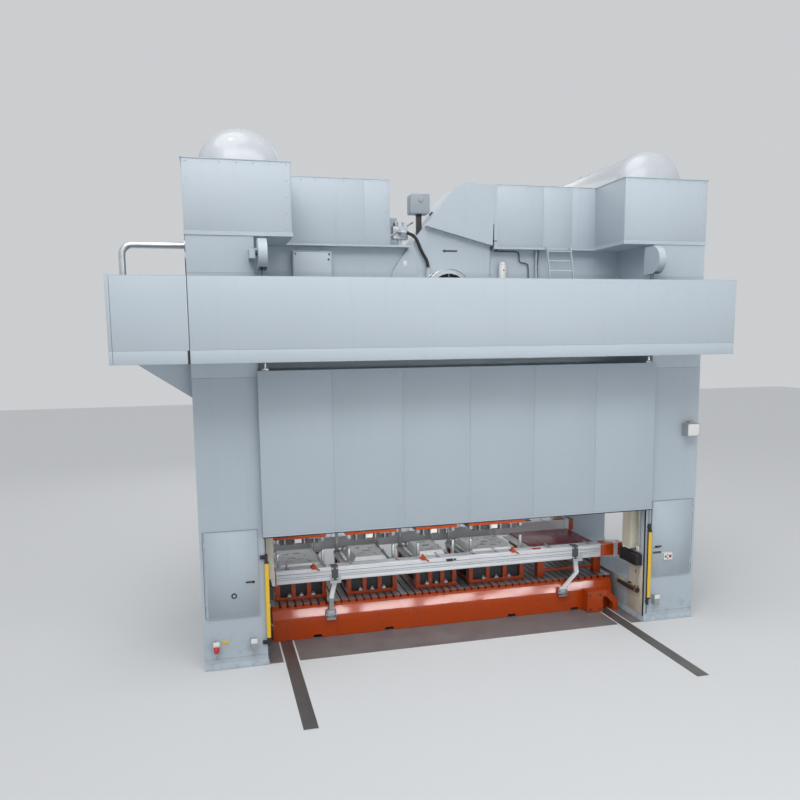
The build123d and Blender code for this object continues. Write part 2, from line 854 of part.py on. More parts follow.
def make_flywheel():
    x, z = flywheel_x, flywheel_height
    bore = disc(x, z, drive_shaft_radius + running_clearance)
    wheel = along_y(disc(x, z, flywheel_radius) - bore, flywheel_front, flywheel_back)
    ring = disc(x, z, flywheel_radius - flywheel_rim) - disc(x, z, flywheel_hub)
    middle = (flywheel_front + flywheel_back) / 2
    wheel -= along_y(ring, flywheel_front, middle - flywheel_web / 2)
    wheel -= along_y(ring, middle + flywheel_web / 2, flywheel_back)
    for place in PolarLocations((flywheel_radius - flywheel_rim + flywheel_hub) / 2, flywheel_holes):
        spot = place.position
        wheel -= round_y(x + spot.X, z + spot.Y, flywheel_hole, flywheel_front, flywheel_back)
    return wheel


def make_bushes():
    """Bronze bushes of the shafts and the fixed pins that the rockers hang on."""
    pieces = []
    for end in (-1, 1):
        for x, z, radius in bearing_places():
            ring = disc(x, z, radius + bush_wall) - disc(x, z, radius + running_clearance)
            pieces.append(along_y(ring, end * (web_inner - bush_proud), end * (web_outer + bush_proud)))
        for side in (-1, 1):
            pieces.append(round_y(side * rocker_x, anchor_height, anchor_pin_radius, end * web_inner, end * pin_end))
    return pieces


# Levers, connecting rods and rockers
def make_lever(side):
    """A pair of bell levers, each with its two pins."""
    pin_x, a_x, b_x = side * crank_pin_x, side * rocker_x, side * rod_x
    outline = strap(pin_x, gear_height, lever_big_eye, b_x, gear_height, lever_small_eye)
    outline += strap(pin_x, gear_height, lever_big_eye, a_x, gear_height, lever_small_eye)
    outline -= disc(pin_x, gear_height, crank_pin_radius + running_clearance)
    lever = along_y(outline, lever_start, lever_start + lever_thickness)
    for x in (a_x, b_x):
        lever += round_y(x, gear_height, lever_pin_radius, lever_start + lever_thickness, pin_end)
    return both(lever)


def make_rod(side):
    x = side * rod_x
    outline = strap(x, gear_height, link_eye, x, wrist_height, wrist_eye)
    outline -= disc(x, gear_height, lever_pin_radius + running_clearance)
    outline -= disc(x, wrist_height, wrist_pin_radius + wrist_slack)
    return both(along_y(outline, link_start, link_start + link_thickness))


def make_rocker(side):
    """The hanging link; its head has a slot, because the pin in it shifts as the lever swings."""
    x = side * rocker_x
    slot_in = rocker_x - rocker_reach - rocker_slack - anchor_pin_radius
    slot_out = rocker_x + rocker_slack + anchor_pin_radius
    height = 2 * (anchor_pin_radius + rocker_slack)
    wall = rocker_head_wall
    middle = side * (slot_in + slot_out) / 2
    head = Pos(middle, anchor_height) * RectangleRounded(slot_out - slot_in + 2 * wall, height + 2 * wall, wall)
    outline = strap(x, gear_height, link_eye, x, anchor_height - height / 2, link_eye * 0.6) + head
    outline -= disc(x, gear_height, lever_pin_radius + running_clearance)
    outline -= Pos(middle, anchor_height) * RectangleRounded(slot_out - slot_in, height, height / 2 - 1)
    return both(along_y(outline, link_start, link_start + link_thickness))


# Slide
def make_slide():
    slide = block(-slide_half_width, slide_half_width, -slide_half_depth, slide_half_depth, slide_bottom, slide_top)
    for end in (-1, 1):
        for side in (-1, 1):
            slide += block(side * ear_inner, side * (gib_inner - guide_gap), end * (slide_half_depth - 75),
                           end * (pillar_inner + gib_depth - gib_lip), ear_bottom, ear_top)
        bay = 2 * slide_half_width / 3
        for number in (-1, 0, 1):
            wide, tall = bay - 300, slide_top - slide_bottom - 500
            outline = Pos(number * (bay - 40), (slide_top + slide_bottom) / 2) * RectangleRounded(wide, tall, 90)
            face_y = end * slide_half_depth
            slide -= along_y(outline, face_y - end * slide_pocket_depth, face_y)
    return slide


def make_plungers():
    """Plungers with their crossheads and wrist pins, and the rods of the counterbalance pistons."""
    pieces = []
    for side in (-1, 1):
        x = side * rod_x
        plunger = round_z(x, 0, plunger_radius, slide_top, wrist_height - crosshead_half_height)
        head = block(x - crosshead_half_width, x + crosshead_half_width, -crosshead_half_depth,
                     crosshead_half_depth, wrist_height - crosshead_half_height, wrist_height + crosshead_half_height)
        plunger += head + round_y(x, wrist_height, wrist_pin_radius, -pin_end, pin_end)
        pieces.append(plunger)
        for end in (-1, 1):
            bore_bottom = crown_bottom + crown_floor_thickness + balance_end
            piston_middle = (bore_bottom + balance_top - balance_end) / 2
            rod = round_z(side * balance_x, end * balance_y, balance_rod, slide_top, piston_middle)
            rod += round_z(side * balance_x, end * balance_y, balance_bore - running_clearance,
                           piston_middle - piston_height / 2, piston_middle + piston_height / 2)
            pieces.append(rod)
    return pieces


def make_counterbalance():
    cylinders = []
    bottom = crown_bottom + crown_floor_thickness
    for side in (-1, 1):
        for end in (-1, 1):
            x, y = side * balance_x, end * balance_y
            tube = round_z(x, y, balance_outer, bottom, balance_top)
            tube -= round_z(x, y, balance_bore, bottom + balance_end, balance_top - balance_end)
            tube -= round_z(x, y, balance_rod + running_clearance, bottom, bottom + balance_end)
            cylinders.append(tube)
    return cylinders


def make_gibs():
    """Guide posts on the columns; the slide's ears run along their inner faces."""
    posts = []
    for side in (-1, 1):
        post = block(side * gib_inner, side * column_inner, -pillar_inner - gib_depth, -pillar_inner,
                     gib_bottom, gib_top)
        posts.extend(both(post))
    return posts


# Belt drive and hood
def hood_outline(inset):
    return strap(flywheel_x, flywheel_height, hood_radius - inset, motor_x, motor_height, hood_top_radius - inset)


def upper_sheet(inset):
    """The part of the hood's outline above the sloping fold of the front sheet."""
    slope = (hood_step_right - hood_step_left) / (hood_step_right_x - hood_step_left_x)
    far = 2 * hood_radius
    left, right = flywheel_x - far, motor_x + far
    low_left = hood_step_left + slope * (left - hood_step_left_x) + inset
    low_right = hood_step_left + slope * (right - hood_step_left_x) + inset
    top = motor_height + far
    return hood_outline(inset) & Polygon((left, low_left), (right, low_right), (right, top), (left, top), align=None)


def make_hood():
    far = 2 * hood_radius
    above = Pos(0, deck_top + far) * Rectangle(4 * far, 2 * far)
    hood = along_y(hood_outline(0), hood_lower_front, -crown_half_depth)
    hood += along_y(hood_outline(0) & above, -crown_half_depth, hood_back)
    hood += along_y(upper_sheet(0), -deck_half_depth, hood_lower_front)
    hood -= along_y(hood_outline(hood_wall), hood_lower_front + hood_wall, -crown_half_depth)
    hood -= along_y(hood_outline(hood_wall) & above, -crown_half_depth, hood_back - hood_wall)
    hood -= along_y(upper_sheet(hood_wall), -deck_half_depth + hood_wall, hood_lower_front + hood_wall)
    hood -= round_y(flywheel_x, flywheel_height, cage_opening / 2, hood_lower_front, hood_lower_front + hood_wall)
    hood -= round_y(motor_x, motor_height, motor_shaft_radius + cover_gap, hood_back - hood_wall, hood_back)
    return hood


def make_cage():
    """Round guard of the clutch, with a spoked opening and a rounded cap in its front."""
    x, z = flywheel_x, flywheel_height
    inner, edge, wall = cage_radius - hood_wall, cage_edge, hood_wall
    outline = Polyline((cage_opening, cage_front + wall), (cage_opening, cage_front), (cage_radius - edge, cage_front))
    outline += RadiusArc((cage_radius - edge, cage_front), (cage_radius, cage_front + edge), -edge)
    outline += Polyline((cage_radius, cage_front + edge), (cage_radius, hood_lower_front), (inner, hood_lower_front),
                        (inner, cage_front + edge))
    outline += RadiusArc((inner, cage_front + edge), (cage_radius - edge, cage_front + wall), edge - wall)
    outline += Line((cage_radius - edge, cage_front + wall), (cage_opening, cage_front + wall))
    body = Pos(x, 0, z) * revolve(make_face(outline), Axis.Y)
    for number in range(cage_spokes // 2):
        spoke = Rectangle(2 * (cage_opening + wall), cage_spoke_width)
        turned = Pos(x, z) * Rot(0, 0, 360 * number / cage_spokes) * spoke
        body += along_y(turned, cage_front, cage_front + wall)
    cap = round_y(x, z, cage_cap_radius, cage_front - cage_edge / 2, cage_front + wall)
    body += fillet(cap.edges().filter_by(GeomType.CIRCLE).sort_by(Axis.Y)[0], cage_edge / 3)
    boss_x, boss_y, boss_top = hose_boss_place()
    boss = round_z(boss_x, boss_y, hose_radius + cover_gap, z, boss_top)
    boss += round_z(boss_x, boss_y, hose_radius + hose_union_wall, boss_top, boss_top + hose_union_length)
    return body + (boss - round_y(x, z, inner, cage_front, hood_lower_front))


def hose_boss_place():
    """Middle of the flat seat on the clutch guard that takes the air hose's union."""
    return flywheel_x - hose_boss_offset, hood_lower_front - hose_stand_off, flywheel_height + cage_radius + hose_boss_height


def hose_elbow():
    """Middle of the elbow on the valves that the air hose leaves, and the way that it points."""
    middle = Vector((valve_left + valve_right) / 2, hood_lower_front - hose_stand_off, (valve_bottom + valve_top) / 2)
    return middle, Vector(hose_heading[0], 0, hose_heading[1]).normalized()


def make_belt():
    x1, z1, x2, z2 = flywheel_x, flywheel_height, motor_x, motor_height
    inside = strap(x1, z1, flywheel_radius + belt_gap, x2, z2, pulley_radius + belt_gap)
    outside = strap(x1, z1, flywheel_radius + belt_gap + belt_thickness,
                    x2, z2, pulley_radius + belt_gap + belt_thickness)
    return along_y(outside - inside, flywheel_front + belt_inset, flywheel_back - belt_inset)


def make_motor():
    x, z = motor_x, motor_height
    outline = disc(x, z, motor_radius)
    for number in range(motor_ribs):
        rib = Pos(motor_radius, 0) * Rectangle(2 * motor_rib_height, motor_rib_height)
        outline += Pos(x, z) * Rot(0, 0, 360 * (number + 0.5) / motor_ribs) * rib
    motor = along_y(outline, motor_front + 100, motor_back - 120)
    motor += round_y(x, z, motor_radius, motor_front, motor_back)
    motor += block(x - motor_foot_half, x + motor_foot_half, 0, motor_back - 120, deck_top, z - motor_radius / 2)
    return motor - round_y(x, z, motor_shaft_radius + running_clearance, motor_front, 0)


def make_motor_pulley():
    shaft = round_y(motor_x, motor_height, motor_shaft_radius, flywheel_front, 0)
    return shaft + round_y(motor_x, motor_height, pulley_radius, flywheel_front + belt_gap, flywheel_back)


# Bolster, its wheels and the runway
def slot_places():
    count = int((bolster_half_width - slot_margin) // slot_pitch)
    return [number * slot_pitch for number in range(-count, count + 1)]


def make_bolster_plate():
    plate = block(-bolster_half_width, bolster_half_width, -bolster_lip_half_depth, bolster_lip_half_depth,
                  groove_top, bolster_top)
    recess = bolster_groove_depth
    plate += block(-bolster_half_width + recess, bolster_half_width - recess, -bolster_lip_half_depth + recess,
                   bolster_lip_half_depth - recess, plate_bottom, groove_top)
    half, head, neck, deep = slot_width / 2, slot_head / 2, slot_neck, slot_depth
    outlines = []
    for x in slot_places():
        outlines.append(Pos(x, bolster_top - deep / 2) * Rectangle(2 * half, deep))
        outlines.append(Pos(x, bolster_top - (neck + deep) / 2) * Rectangle(2 * head, deep - neck))
    slots = Sketch() + outlines
    return plate - along_y(slots, -bolster_lip_half_depth, bolster_lip_half_depth)


def make_bolster():
    lip, face = bolster_lip_half_depth, bolster_face_half_depth
    chamfer = plate_bottom - bolster_chamfer_height
    low = bolster_clearance
    outline = ((-face, low), (-face, chamfer), (-lip, plate_bottom), (lip, plate_bottom), (face, chamfer), (face, low))
    bolster = along_x(outline, -bolster_half_width, bolster_half_width)
    for place in clamp_channel_x:
        for side in (-1, 1):
            x = side * place
            bolster -= block(x - clamp_channel_width / 2, x + clamp_channel_width / 2, -face, face,
                             low, low + clamp_channel_height)
    middle = wheel_radius + wheel_gap
    for side in (-1, 1):
        for end in (-1, 1):
            x, y = side * wheel_x, end * wheel_y
            half = wheel_width / 2 + wheel_pocket_gap
            reach = wheel_radius + wheel_pocket_gap
            bolster -= block(x - half, x + half, y - reach, y + reach, low, middle + reach)
            far = half + axle_overhang + 1
            bolster -= round_x(y, middle, axle_radius + running_clearance, x - far, x + far)
    front = -face - end_block_reach
    end_block = block(end_block_inner, end_block_outer, front, -face, low, end_block_top)
    inner, outer = end_block_outer, end_arm_outer
    arm = Polygon((inner, end_block_top), (inner + 130, end_block_top), (outer, 230), (outer, low),
                  (outer - 115, low), (outer - 115, 170), (inner + 80, 330), (inner, 330), align=None)
    end_arm = along_y(arm, front, front + end_arm_thickness)
    pieces = [bolster, end_block, end_arm]
    for places in (rest_left_x, rest_right_x):
        pieces.extend(both(make_rest(places)))
    return pieces


def make_rest(places):
    """Bent bar on the bolster's front face that a rail rests on when the bolster rolls out."""
    heights = (rest_bottom, rest_knee, rail_bottom - saddle_block - guide_gap)
    outline = Sketch()
    half = rest_bar / 2
    for number in (0, 1):
        x0, x1 = places[number], places[number + 1]
        z0, z1 = heights[number], heights[number + 1]
        outline += Polygon((x0 - half, z0), (x0 + half, z0), (x1 + half, z1), (x1 - half, z1), align=None)
    inner = bolster_face_half_depth
    bar = along_y(outline, -inner - rest_thickness, -inner)
    pad_z = plate_bottom - bolster_chamfer_height
    pad = block(places[0] - rest_bar, places[0] + rest_bar, -inner - rest_thickness, -inner,
                pad_z - rest_bar, rest_bottom + half)
    return bar + pad


def make_wheels(end):
    pair = []
    for side in (-1, 1):
        x, middle = side * wheel_x, wheel_radius + wheel_gap
        wheel = round_x(end * wheel_y, middle, wheel_radius, x - wheel_width / 2, x + wheel_width / 2)
        for face in (-1, 1):
            flat = x + face * wheel_width / 2
            ring = round_x(end * wheel_y, middle, wheel_radius * 0.8, flat - face * 18, flat)
            ring -= round_x(end * wheel_y, middle, wheel_radius * 0.4, flat - face * 18, flat)
            wheel -= ring
        far = wheel_width / 2 + wheel_pocket_gap + axle_overhang
        pair.append(wheel + round_x(end * wheel_y, middle, axle_radius, x - far, x + far))
    return pair


def make_runway():
    """Rails flush with the floor: seated in the bed, and carried on posts in front of it."""
    rails = []
    reach = front_y - runway_reach
    for side in (-1, 1):
        x = side * wheel_x
        half = runway_width / 2
        rail = block(x - half, x + half, reach, wheel_y + 2 * wheel_radius, -runway_depth, 0)
        for share in (0.32, 0.95):
            y = front_y - share * (runway_reach - runway_post)
            rail += block(x - runway_post / 2, x + runway_post / 2, y - runway_post / 2, y + runway_post / 2,
                          -bed_depth + 20, -runway_depth)
            rail += block(x - runway_post, x + runway_post, y - runway_post, y + runway_post,
                          -bed_depth, -bed_depth + 20)
        rails.append(rail)
    return rails


# Dies and the last station
def post_places(middle, width):
    return [(middle + side * (width / 2 - guide_post_inset), end * (die_half_depth - guide_post_inset))
            for side in (-1, 1) for end in (-1, 1)]


def make_lower_dies():
    pieces = []
    for middle, width in die_stations:
        half = width / 2
        pieces.append(block(middle - half, middle + half, -die_half_depth, die_half_depth, bolster_top, base_top))
        inner_half, inner_depth = half - 2 * guide_post_inset, die_half_depth - 2 * guide_post_inset
        die = block(middle - half, middle + half, -die_half_depth, die_half_depth, base_top, lower_die_top - 160)
        die += block(middle - half, middle + half, -inner_depth, inner_depth, base_top, lower_die_top - die_step)
        form = block(middle - inner_half, middle + inner_half, -inner_depth * 0.8, inner_depth * 0.8,
                     base_top, lower_die_top)
        die += chamfer(form.faces().sort_by(Axis.Z)[-1].edges(), die_step * 0.8)
        for x, y in post_places(middle, width):
            die += round_z(x, y, guide_post_radius, base_top, guide_post_top)
        pieces.append(die)
    return pieces


def make_upper_dies():
    pieces = []
    shoe_bottom = slide_bottom - upper_shoe_thickness
    for middle, width in die_stations:
        half = width / 2
        shoe = block(middle - half, middle + half, -die_half_depth, die_half_depth, shoe_bottom, slide_bottom)
        inner_half, inner_depth = half - 2 * guide_post_inset, die_half_depth - 2 * guide_post_inset
        shoe += block(middle - inner_half, middle + inner_half, -inner_depth, inner_depth, upper_die_bottom, shoe_bottom)
        for x, y in post_places(middle, width):
            shoe -= round_z(x, y, guide_post_radius + guide_post_gap, shoe_bottom, slide_bottom)
        pieces.append(shoe)
    return pieces


def make_stand():
    """Idle station: a plate on legs beside the last die."""
    stand = block(stand_left, stand_right, -die_half_depth, die_half_depth, stand_top - stand_plate, stand_top)
    for x in (stand_left, stand_right - stand_leg):
        for end in (-1, 1):
            y = end * die_half_depth
            stand += block(x, x + stand_leg, y - end * stand_leg, y, bolster_top, stand_top - stand_plate)
        stand += block(x + stand_leg * 0.4, x + stand_leg * 0.6, -die_half_depth, die_half_depth,
                       bolster_top, stand_top - stand_plate)
    return stand


# Transfer rails and their drives
def make_rail():
    rail = block(-rail_half_length, rail_half_length, -rail_outer_y, -rail_inner_y, rail_bottom, rail_top)
    for share in (0.3, 0.66):
        z = rail_bottom + share * (rail_top - rail_bottom)
        rail -= block(-rail_half_length, rail_half_length, -rail_outer_y, -rail_outer_y + rail_groove_depth,
                      z - rail_groove / 2, z + rail_groove / 2)
    for y in (-rail_outer_y + rail_depth * 0.3, -rail_outer_y + rail_depth * 0.7):
        rail -= block(-rail_half_length, rail_half_length, y - rail_groove / 2, y + rail_groove / 2,
                      rail_top - 2 * rail_groove_depth, rail_top)
    pieces = [rail]
    for side in (-1, 1):
        margin = rail_end_margin
        pieces.append(block(side * rail_half_length, side * (rail_half_length + rail_end_length),
                            -rail_outer_y - margin, -rail_inner_y + margin, rail_bottom - margin, rail_top + margin))
    return pieces


def make_rail_saddles():
    """Supports between the rests and the rail, with a lip up the rail's front."""
    pieces = []
    for places in (rest_left_x, rest_right_x):
        x = places[2]
        saddle = block(x - saddle_half_width, x + saddle_half_width, -rail_outer_y - saddle_lip - guide_gap,
                       -rail_inner_y - saddle_lip, rail_bottom - saddle_block, rail_bottom)
        saddle += block(x - saddle_half_width, x + saddle_half_width, -rail_outer_y - saddle_lip - guide_gap,
                        -rail_outer_y - guide_gap, rail_bottom, rail_bottom + saddle_lip_height)
        pieces.append(saddle)
    return pieces


def drive_rod_x():
    return (drive_box_inner + column_inner) / 2


def make_carriages():
    pieces = []
    for side in (-1, 1):
        inner = rail_half_length + rail_end_length + carriage_gap
        body = block(side * inner, side * carriage_outer, -rail_outer_y, -rail_inner_y, rail_bottom, rail_top)
        body += round_y(side * drive_rod_x(), drive_rod_height, drive_rod_radius,
                        -rail_outer_y - drive_rod_length, -rail_outer_y)
        pieces.append(body)
    return pieces


def make_drive_boxes():
    pieces = []
    for side in (-1, 1):
        box = block(side * drive_box_inner, side * column_inner, -drive_box_front, -drive_box_back,
                    drive_box_bottom, drive_box_top)
        box = fillet(box.edges().filter_by(Axis.Y).group_by(Axis.X)[0 if side > 0 else -1], 20)
        bore_end = -rail_outer_y - drive_rod_length - 60
        box -= round_y(side * drive_rod_x(), drive_rod_height, drive_rod_radius + running_clearance,
                       bore_end, -drive_box_back)
        pieces.extend(both(box))
        x = side * (column_inner - sill_cylinder_radius - 10)
        cylinder = round_y(x, sill_cylinder_height, sill_cylinder_radius, -sill_cylinder_front, -sill_cylinder_back)
        for y in (-sill_cylinder_front + 80, -pillar_inner - 80):
            cylinder += block(x, side * column_inner, y - 30, y + 30, sill_cylinder_height - 70,
                              sill_cylinder_height + 70)
        pieces.append(cylinder)
    return pieces


# Front door and hoist
def make_front_door():
    door = block(-door_half_width, door_half_width, door_front, door_back, door_bottom, door_top)
    bay = (2 * door_half_width - door_skin) / (door_ribs + 1)
    for number in range(door_ribs + 1):
        x = -door_half_width + door_skin + number * bay
        door -= block(x, x + bay - door_skin, door_front + door_skin, door_back - door_skin,
                      door_bottom + door_skin, door_top - door_skin)
    for number in range(door_ribs + 1):
        x = -door_half_width + door_skin + number * bay
        lip = 60
        door -= block(x + lip, x + bay - door_skin - lip, door_back - door_skin, door_back,
                      door_bottom + lip, door_top - lip)
    return door


def make_drums():
    drums = []
    for side in (-1, 1):
        inner, outer = drum_x - drum_width / 2, drum_x + drum_width / 2
        drum = round_x(drum_y, drum_height, drum_radius - rope_radius, side * inner, side * outer)
        for x in (inner, outer - 10):
            drum += round_x(drum_y, drum_height, drum_radius + drum_flange, side * x, side * (x + 10))
        drum += round_x(drum_y, drum_height, drum_axle, side * outer, side * (column_inner + drum_bracket))
        drums.append(drum)
    return drums


def make_ropes():
    ropes = []
    for side in (-1, 1):
        ropes.append(round_z(side * drum_x, door_middle, rope_radius, door_top, drum_height))
    return ropes


def make_hoist_guards():
    """Brackets that carry the drum axles, and a D-shaped guard over each drum."""
    pieces = []
    reach = drum_guard_radius
    for side in (-1, 1):
        bracket = block(side * column_inner, side * (column_inner + drum_bracket), drum_y - 3 * drum_axle, front_y,
                        drum_height - 3 * drum_axle, drum_height + 3 * drum_axle)
        bracket -= round_x(drum_y, drum_height, drum_axle + running_clearance, side * column_inner,
                           side * (column_inner + drum_bracket))
        inner = side * (drum_x - drum_guard_width / 2)
        outer = side * (drum_x + drum_guard_width / 2)

        def shape(radius, x0, x1):
            round_part = round_x(drum_y, drum_height, radius, x0, x1)
            back = block(x0, x1, drum_y, drum_y + radius, drum_height - radius, drum_height + radius)
            return round_part + back

        wall = drum_guard_wall
        guard = shape(reach, inner, outer)
        guard -= shape(reach - wall, inner + side * wall, outer - side * wall)
        guard -= block(inner + side * wall, outer - side * wall, drum_y - reach / 2, drum_y + reach - wall,
                       drum_height - reach, drum_height)
        guard -= round_x(drum_y, drum_height, drum_axle + wall, inner + side * 2 * wall, outer)
        tab = block(outer, side * column_inner, drum_y - 60, drum_y + 60, drum_height + 2 * drum_axle,
                    drum_height + 2 * drum_axle + 40)
        pieces.append(guard + tab + bracket)
    return pieces


# Walkway in front of the crown
def make_walkway():
    sheet, half = parapet_sheet, parapet_half_width
    walkway = block(-half, half, -parapet_y, -parapet_y + sheet, parapet_bottom, parapet_top)
    walkway += block(-half, half, -parapet_y, -parapet_y + parapet_fold, parapet_top - sheet, parapet_top)
    inner_edge = door_front - walkway_gap
    deck_low = service_floor_height - service_floor_thickness
    walkway += block(-half, half, -parapet_y, inner_edge, deck_low, service_floor_height)
    for side in (-1, 1):
        walkway += block(side * (door_half_width + walkway_gap), side * half, -parapet_y, front_y,
                         deck_low, service_floor_height)
        walkway += block(side * half, side * (half - sheet), -parapet_y, front_y, parapet_bottom, parapet_top)
    for number in range(joist_count):
        x = -half + sheet / 2 + number * (2 * half - sheet) / (joist_count - 1)
        back = front_y if abs(x) > door_half_width + walkway_gap else inner_edge
        walkway += block(x - sheet / 2, x + sheet / 2, -parapet_y, back, parapet_bottom, deck_low)
    left, right = -extension_left, -column_outer
    extension = block(left, right, -parapet_y, -parapet_y + sheet, parapet_bottom, parapet_top)
    extension += block(left, right, -parapet_y, -parapet_y + parapet_fold, parapet_top - sheet, parapet_top)
    extension += block(left, right, -parapet_y, -extension_back, deck_low, service_floor_height)
    extension += block(left, left + sheet, -parapet_y, -extension_back, parapet_bottom, parapet_top)
    for y in (-half_depth + 200, -extension_back - 200):
        gusset = Polygon((right, deck_low), (right, deck_low - 700), (left + 150, deck_low), align=None)
        extension += along_y(gusset, y, y + 2 * sheet)
    return walkway, extension


# Fittings on the columns
def make_access_door(side):
    inner, outer = side * access_inner, side * access_outer
    face = front_y - guide_gap - access_depth
    door = block(inner, outer, face, front_y - guide_gap, access_bottom, access_top)
    sheet = access_sheet
    door -= block(inner + side * sheet, outer - side * sheet, face + sheet, front_y - guide_gap,
                  access_bottom + sheet, access_top - sheet)
    door -= round_y(side * handle_x, handle_z, handle_spindle + running_clearance, face, face + sheet)
    hinge_x, hinge_y = side * (access_outer + hinge_offset), hinge_line()
    for z in (access_bottom + hinge_inset, access_top - hinge_inset):
        barrel = round_z(hinge_x, hinge_y, hinge_radius, z, z + hinge_length)
        barrel += block(outer - side * sheet, hinge_x, hinge_y - hinge_radius, hinge_y, z, z + hinge_length)
        door += barrel
        door -= round_z(hinge_x, hinge_y, hinge_pin + running_clearance, z, z + hinge_length)
    pieces = [door]
    if side > 0:
        box_front = face - button_box_depth
        box = block(button_box_inner, button_box_outer, box_front, face, button_box_bottom, button_box_top)
        box = fillet(box.edges().filter_by(Axis.Y), 12)
        middle = (button_box_bottom + button_box_top) / 2
        depth = button_box_depth / 2 + button_travel
        box -= round_y(button_x, middle, button_stem + running_clearance, box_front, box_front + depth)
        pieces.append(box)
    return pieces


def hinge_line():
    return front_y - guide_gap - access_depth / 2 - 5


def make_handle(side):
    face = front_y - guide_gap - access_depth
    rose = face - 2 * guide_gap
    x = side * handle_x
    handle = round_y(x, handle_z, handle_rose, rose - handle_depth, rose)
    lever_end = x + side * handle_length
    handle += block(x, lever_end, rose - handle_depth, rose - handle_depth / 3, handle_z - handle_height / 2,
                    handle_z + handle_height / 2)
    handle = fillet(handle.edges().filter_by(Axis.Y).group_by(Axis.X)[-1 if side > 0 else 0], handle_height / 3)
    cam_front = face + access_depth / 2
    handle += round_y(x, handle_z, handle_spindle, rose, cam_front)
    return handle + block(x - handle_spindle, x + handle_spindle, cam_front, cam_front + handle_spindle,
                          handle_z - 4 * handle_spindle, handle_z + handle_spindle)


def make_red_button():
    box_front = front_y - guide_gap - access_depth - button_box_depth
    middle = (button_box_bottom + button_box_top) / 2
    head_back = box_front - button_travel - guide_gap
    head = round_y(button_x, middle, button_radius, head_back - button_head, head_back)
    head = fillet(head.edges().filter_by(GeomType.CIRCLE).sort_by(Axis.Y)[0], button_head / 3)
    return head + round_y(button_x, middle, button_stem, head_back, box_front + button_box_depth / 2 - button_travel)


def make_column_fittings():
    pieces = []
    for x, z in socket_places:
        box = block(x - socket_width / 2, x + socket_width / 2, front_y - socket_depth, front_y,
                    z - socket_height / 2, z + socket_height / 2)
        pieces.append(fillet(box.edges().filter_by(Axis.Y), 12))
    beacon = block(beacon_inner, beacon_outer, front_y - beacon_depth, front_y, beacon_bottom, beacon_top)
    beacon = fillet(beacon.edges().filter_by(Axis.Y), 15)
    cap = round_z((beacon_inner + beacon_outer) / 2, front_y - beacon_depth / 2, beacon_cap_radius,
                  beacon_top, beacon_top + beacon_cap_height)
    pieces.append(beacon + fillet(cap.edges().filter_by(GeomType.CIRCLE).sort_by(Axis.Z)[-1], beacon_cap_height / 3))
    for side in (-1, 1):
        hinge_x = side * (access_outer + hinge_offset)
        for z in (access_bottom + hinge_inset, access_top - hinge_inset):
            seat = z - guide_gap
            pin = round_z(hinge_x, hinge_line(), hinge_pin, seat, z + hinge_length)
            pin += round_z(hinge_x, hinge_line(), hinge_radius, seat - 2 * hinge_radius, seat)
            pin += block(hinge_x - hinge_radius, hinge_x + hinge_radius, hinge_line(), front_y,
                         seat - 2 * hinge_radius, seat)
            pieces.append(pin)
        strip = block(side * (door_half_width - 5 - door_guide_width), side * (door_half_width - 5),
                      door_back + guide_gap, front_y, door_bottom, door_top + door_travel)
        pieces.append(strip)
        x = side * column_inner
        junction_y = front_y + junction_box_size
        junction = block(x - side * junction_box_size / 2, x, junction_y, junction_y + junction_box_size,
                         junction_box_bottom, junction_box_bottom + junction_box_size)
        pieces.append(junction)
    return pieces


def make_curtains():
    pieces = []
    for x in (curtain_left_x, curtain_right_x):
        back = front_y - curtain_stand_off
        front = back - curtain_thickness
        half = curtain_width / 2
        edge = (access_inner - 30) * (1 if x > 0 else -1)
        inward = x - half * 0.7 if x > 0 else x + half * 0.7
        bar = block(x - half, x + half, front, back, curtain_bottom, curtain_top)
        bar = fillet(bar.edges().filter_by(Axis.Z), 10)
        pieces.append(bar)
        for end, z in ((-1, curtain_bottom), (1, curtain_top)):
            low, high = sorted((z, z + end * curtain_bracket))
            plate = block(x - half * 0.7, x + half * 0.7, back - 24, back, low, high)
            block_low, block_high = sorted((z + end * 40, z + end * 110))
            plate += block(inward, edge, back, front_y, block_low, block_high)
            pieces.append(plate)
    return pieces


# Fittings on the crown
def make_ladder():
    foot, head = ladder_foot_y, ladder_head_y
    low, high = service_floor_height, ledge_top - deck_thickness / 2
    half = ladder_rail / 2
    stringer = ((foot - half, low), (foot + half, low), (head + half, high), (head - half, high))
    ladder = along_x(stringer, ladder_left, ladder_left + ladder_rail_thickness)
    ladder += along_x(stringer, ladder_right - ladder_rail_thickness, ladder_right)
    count = int((high - low) // ladder_rung_pitch)
    for number in range(1, count + 1):
        z = low + number * ladder_rung_pitch - ladder_rung_pitch / 3
        y = foot + (head - foot) * (z - low) / (high - low)
        ladder += round_x(y, z, ladder_rung, ladder_left, ladder_right)
    top = high - ladder_rail
    for x in (ladder_left, ladder_right - ladder_rail_thickness):
        ladder += block(x, x + ladder_rail_thickness, head, -deck_half_depth, top, high)
    return ladder


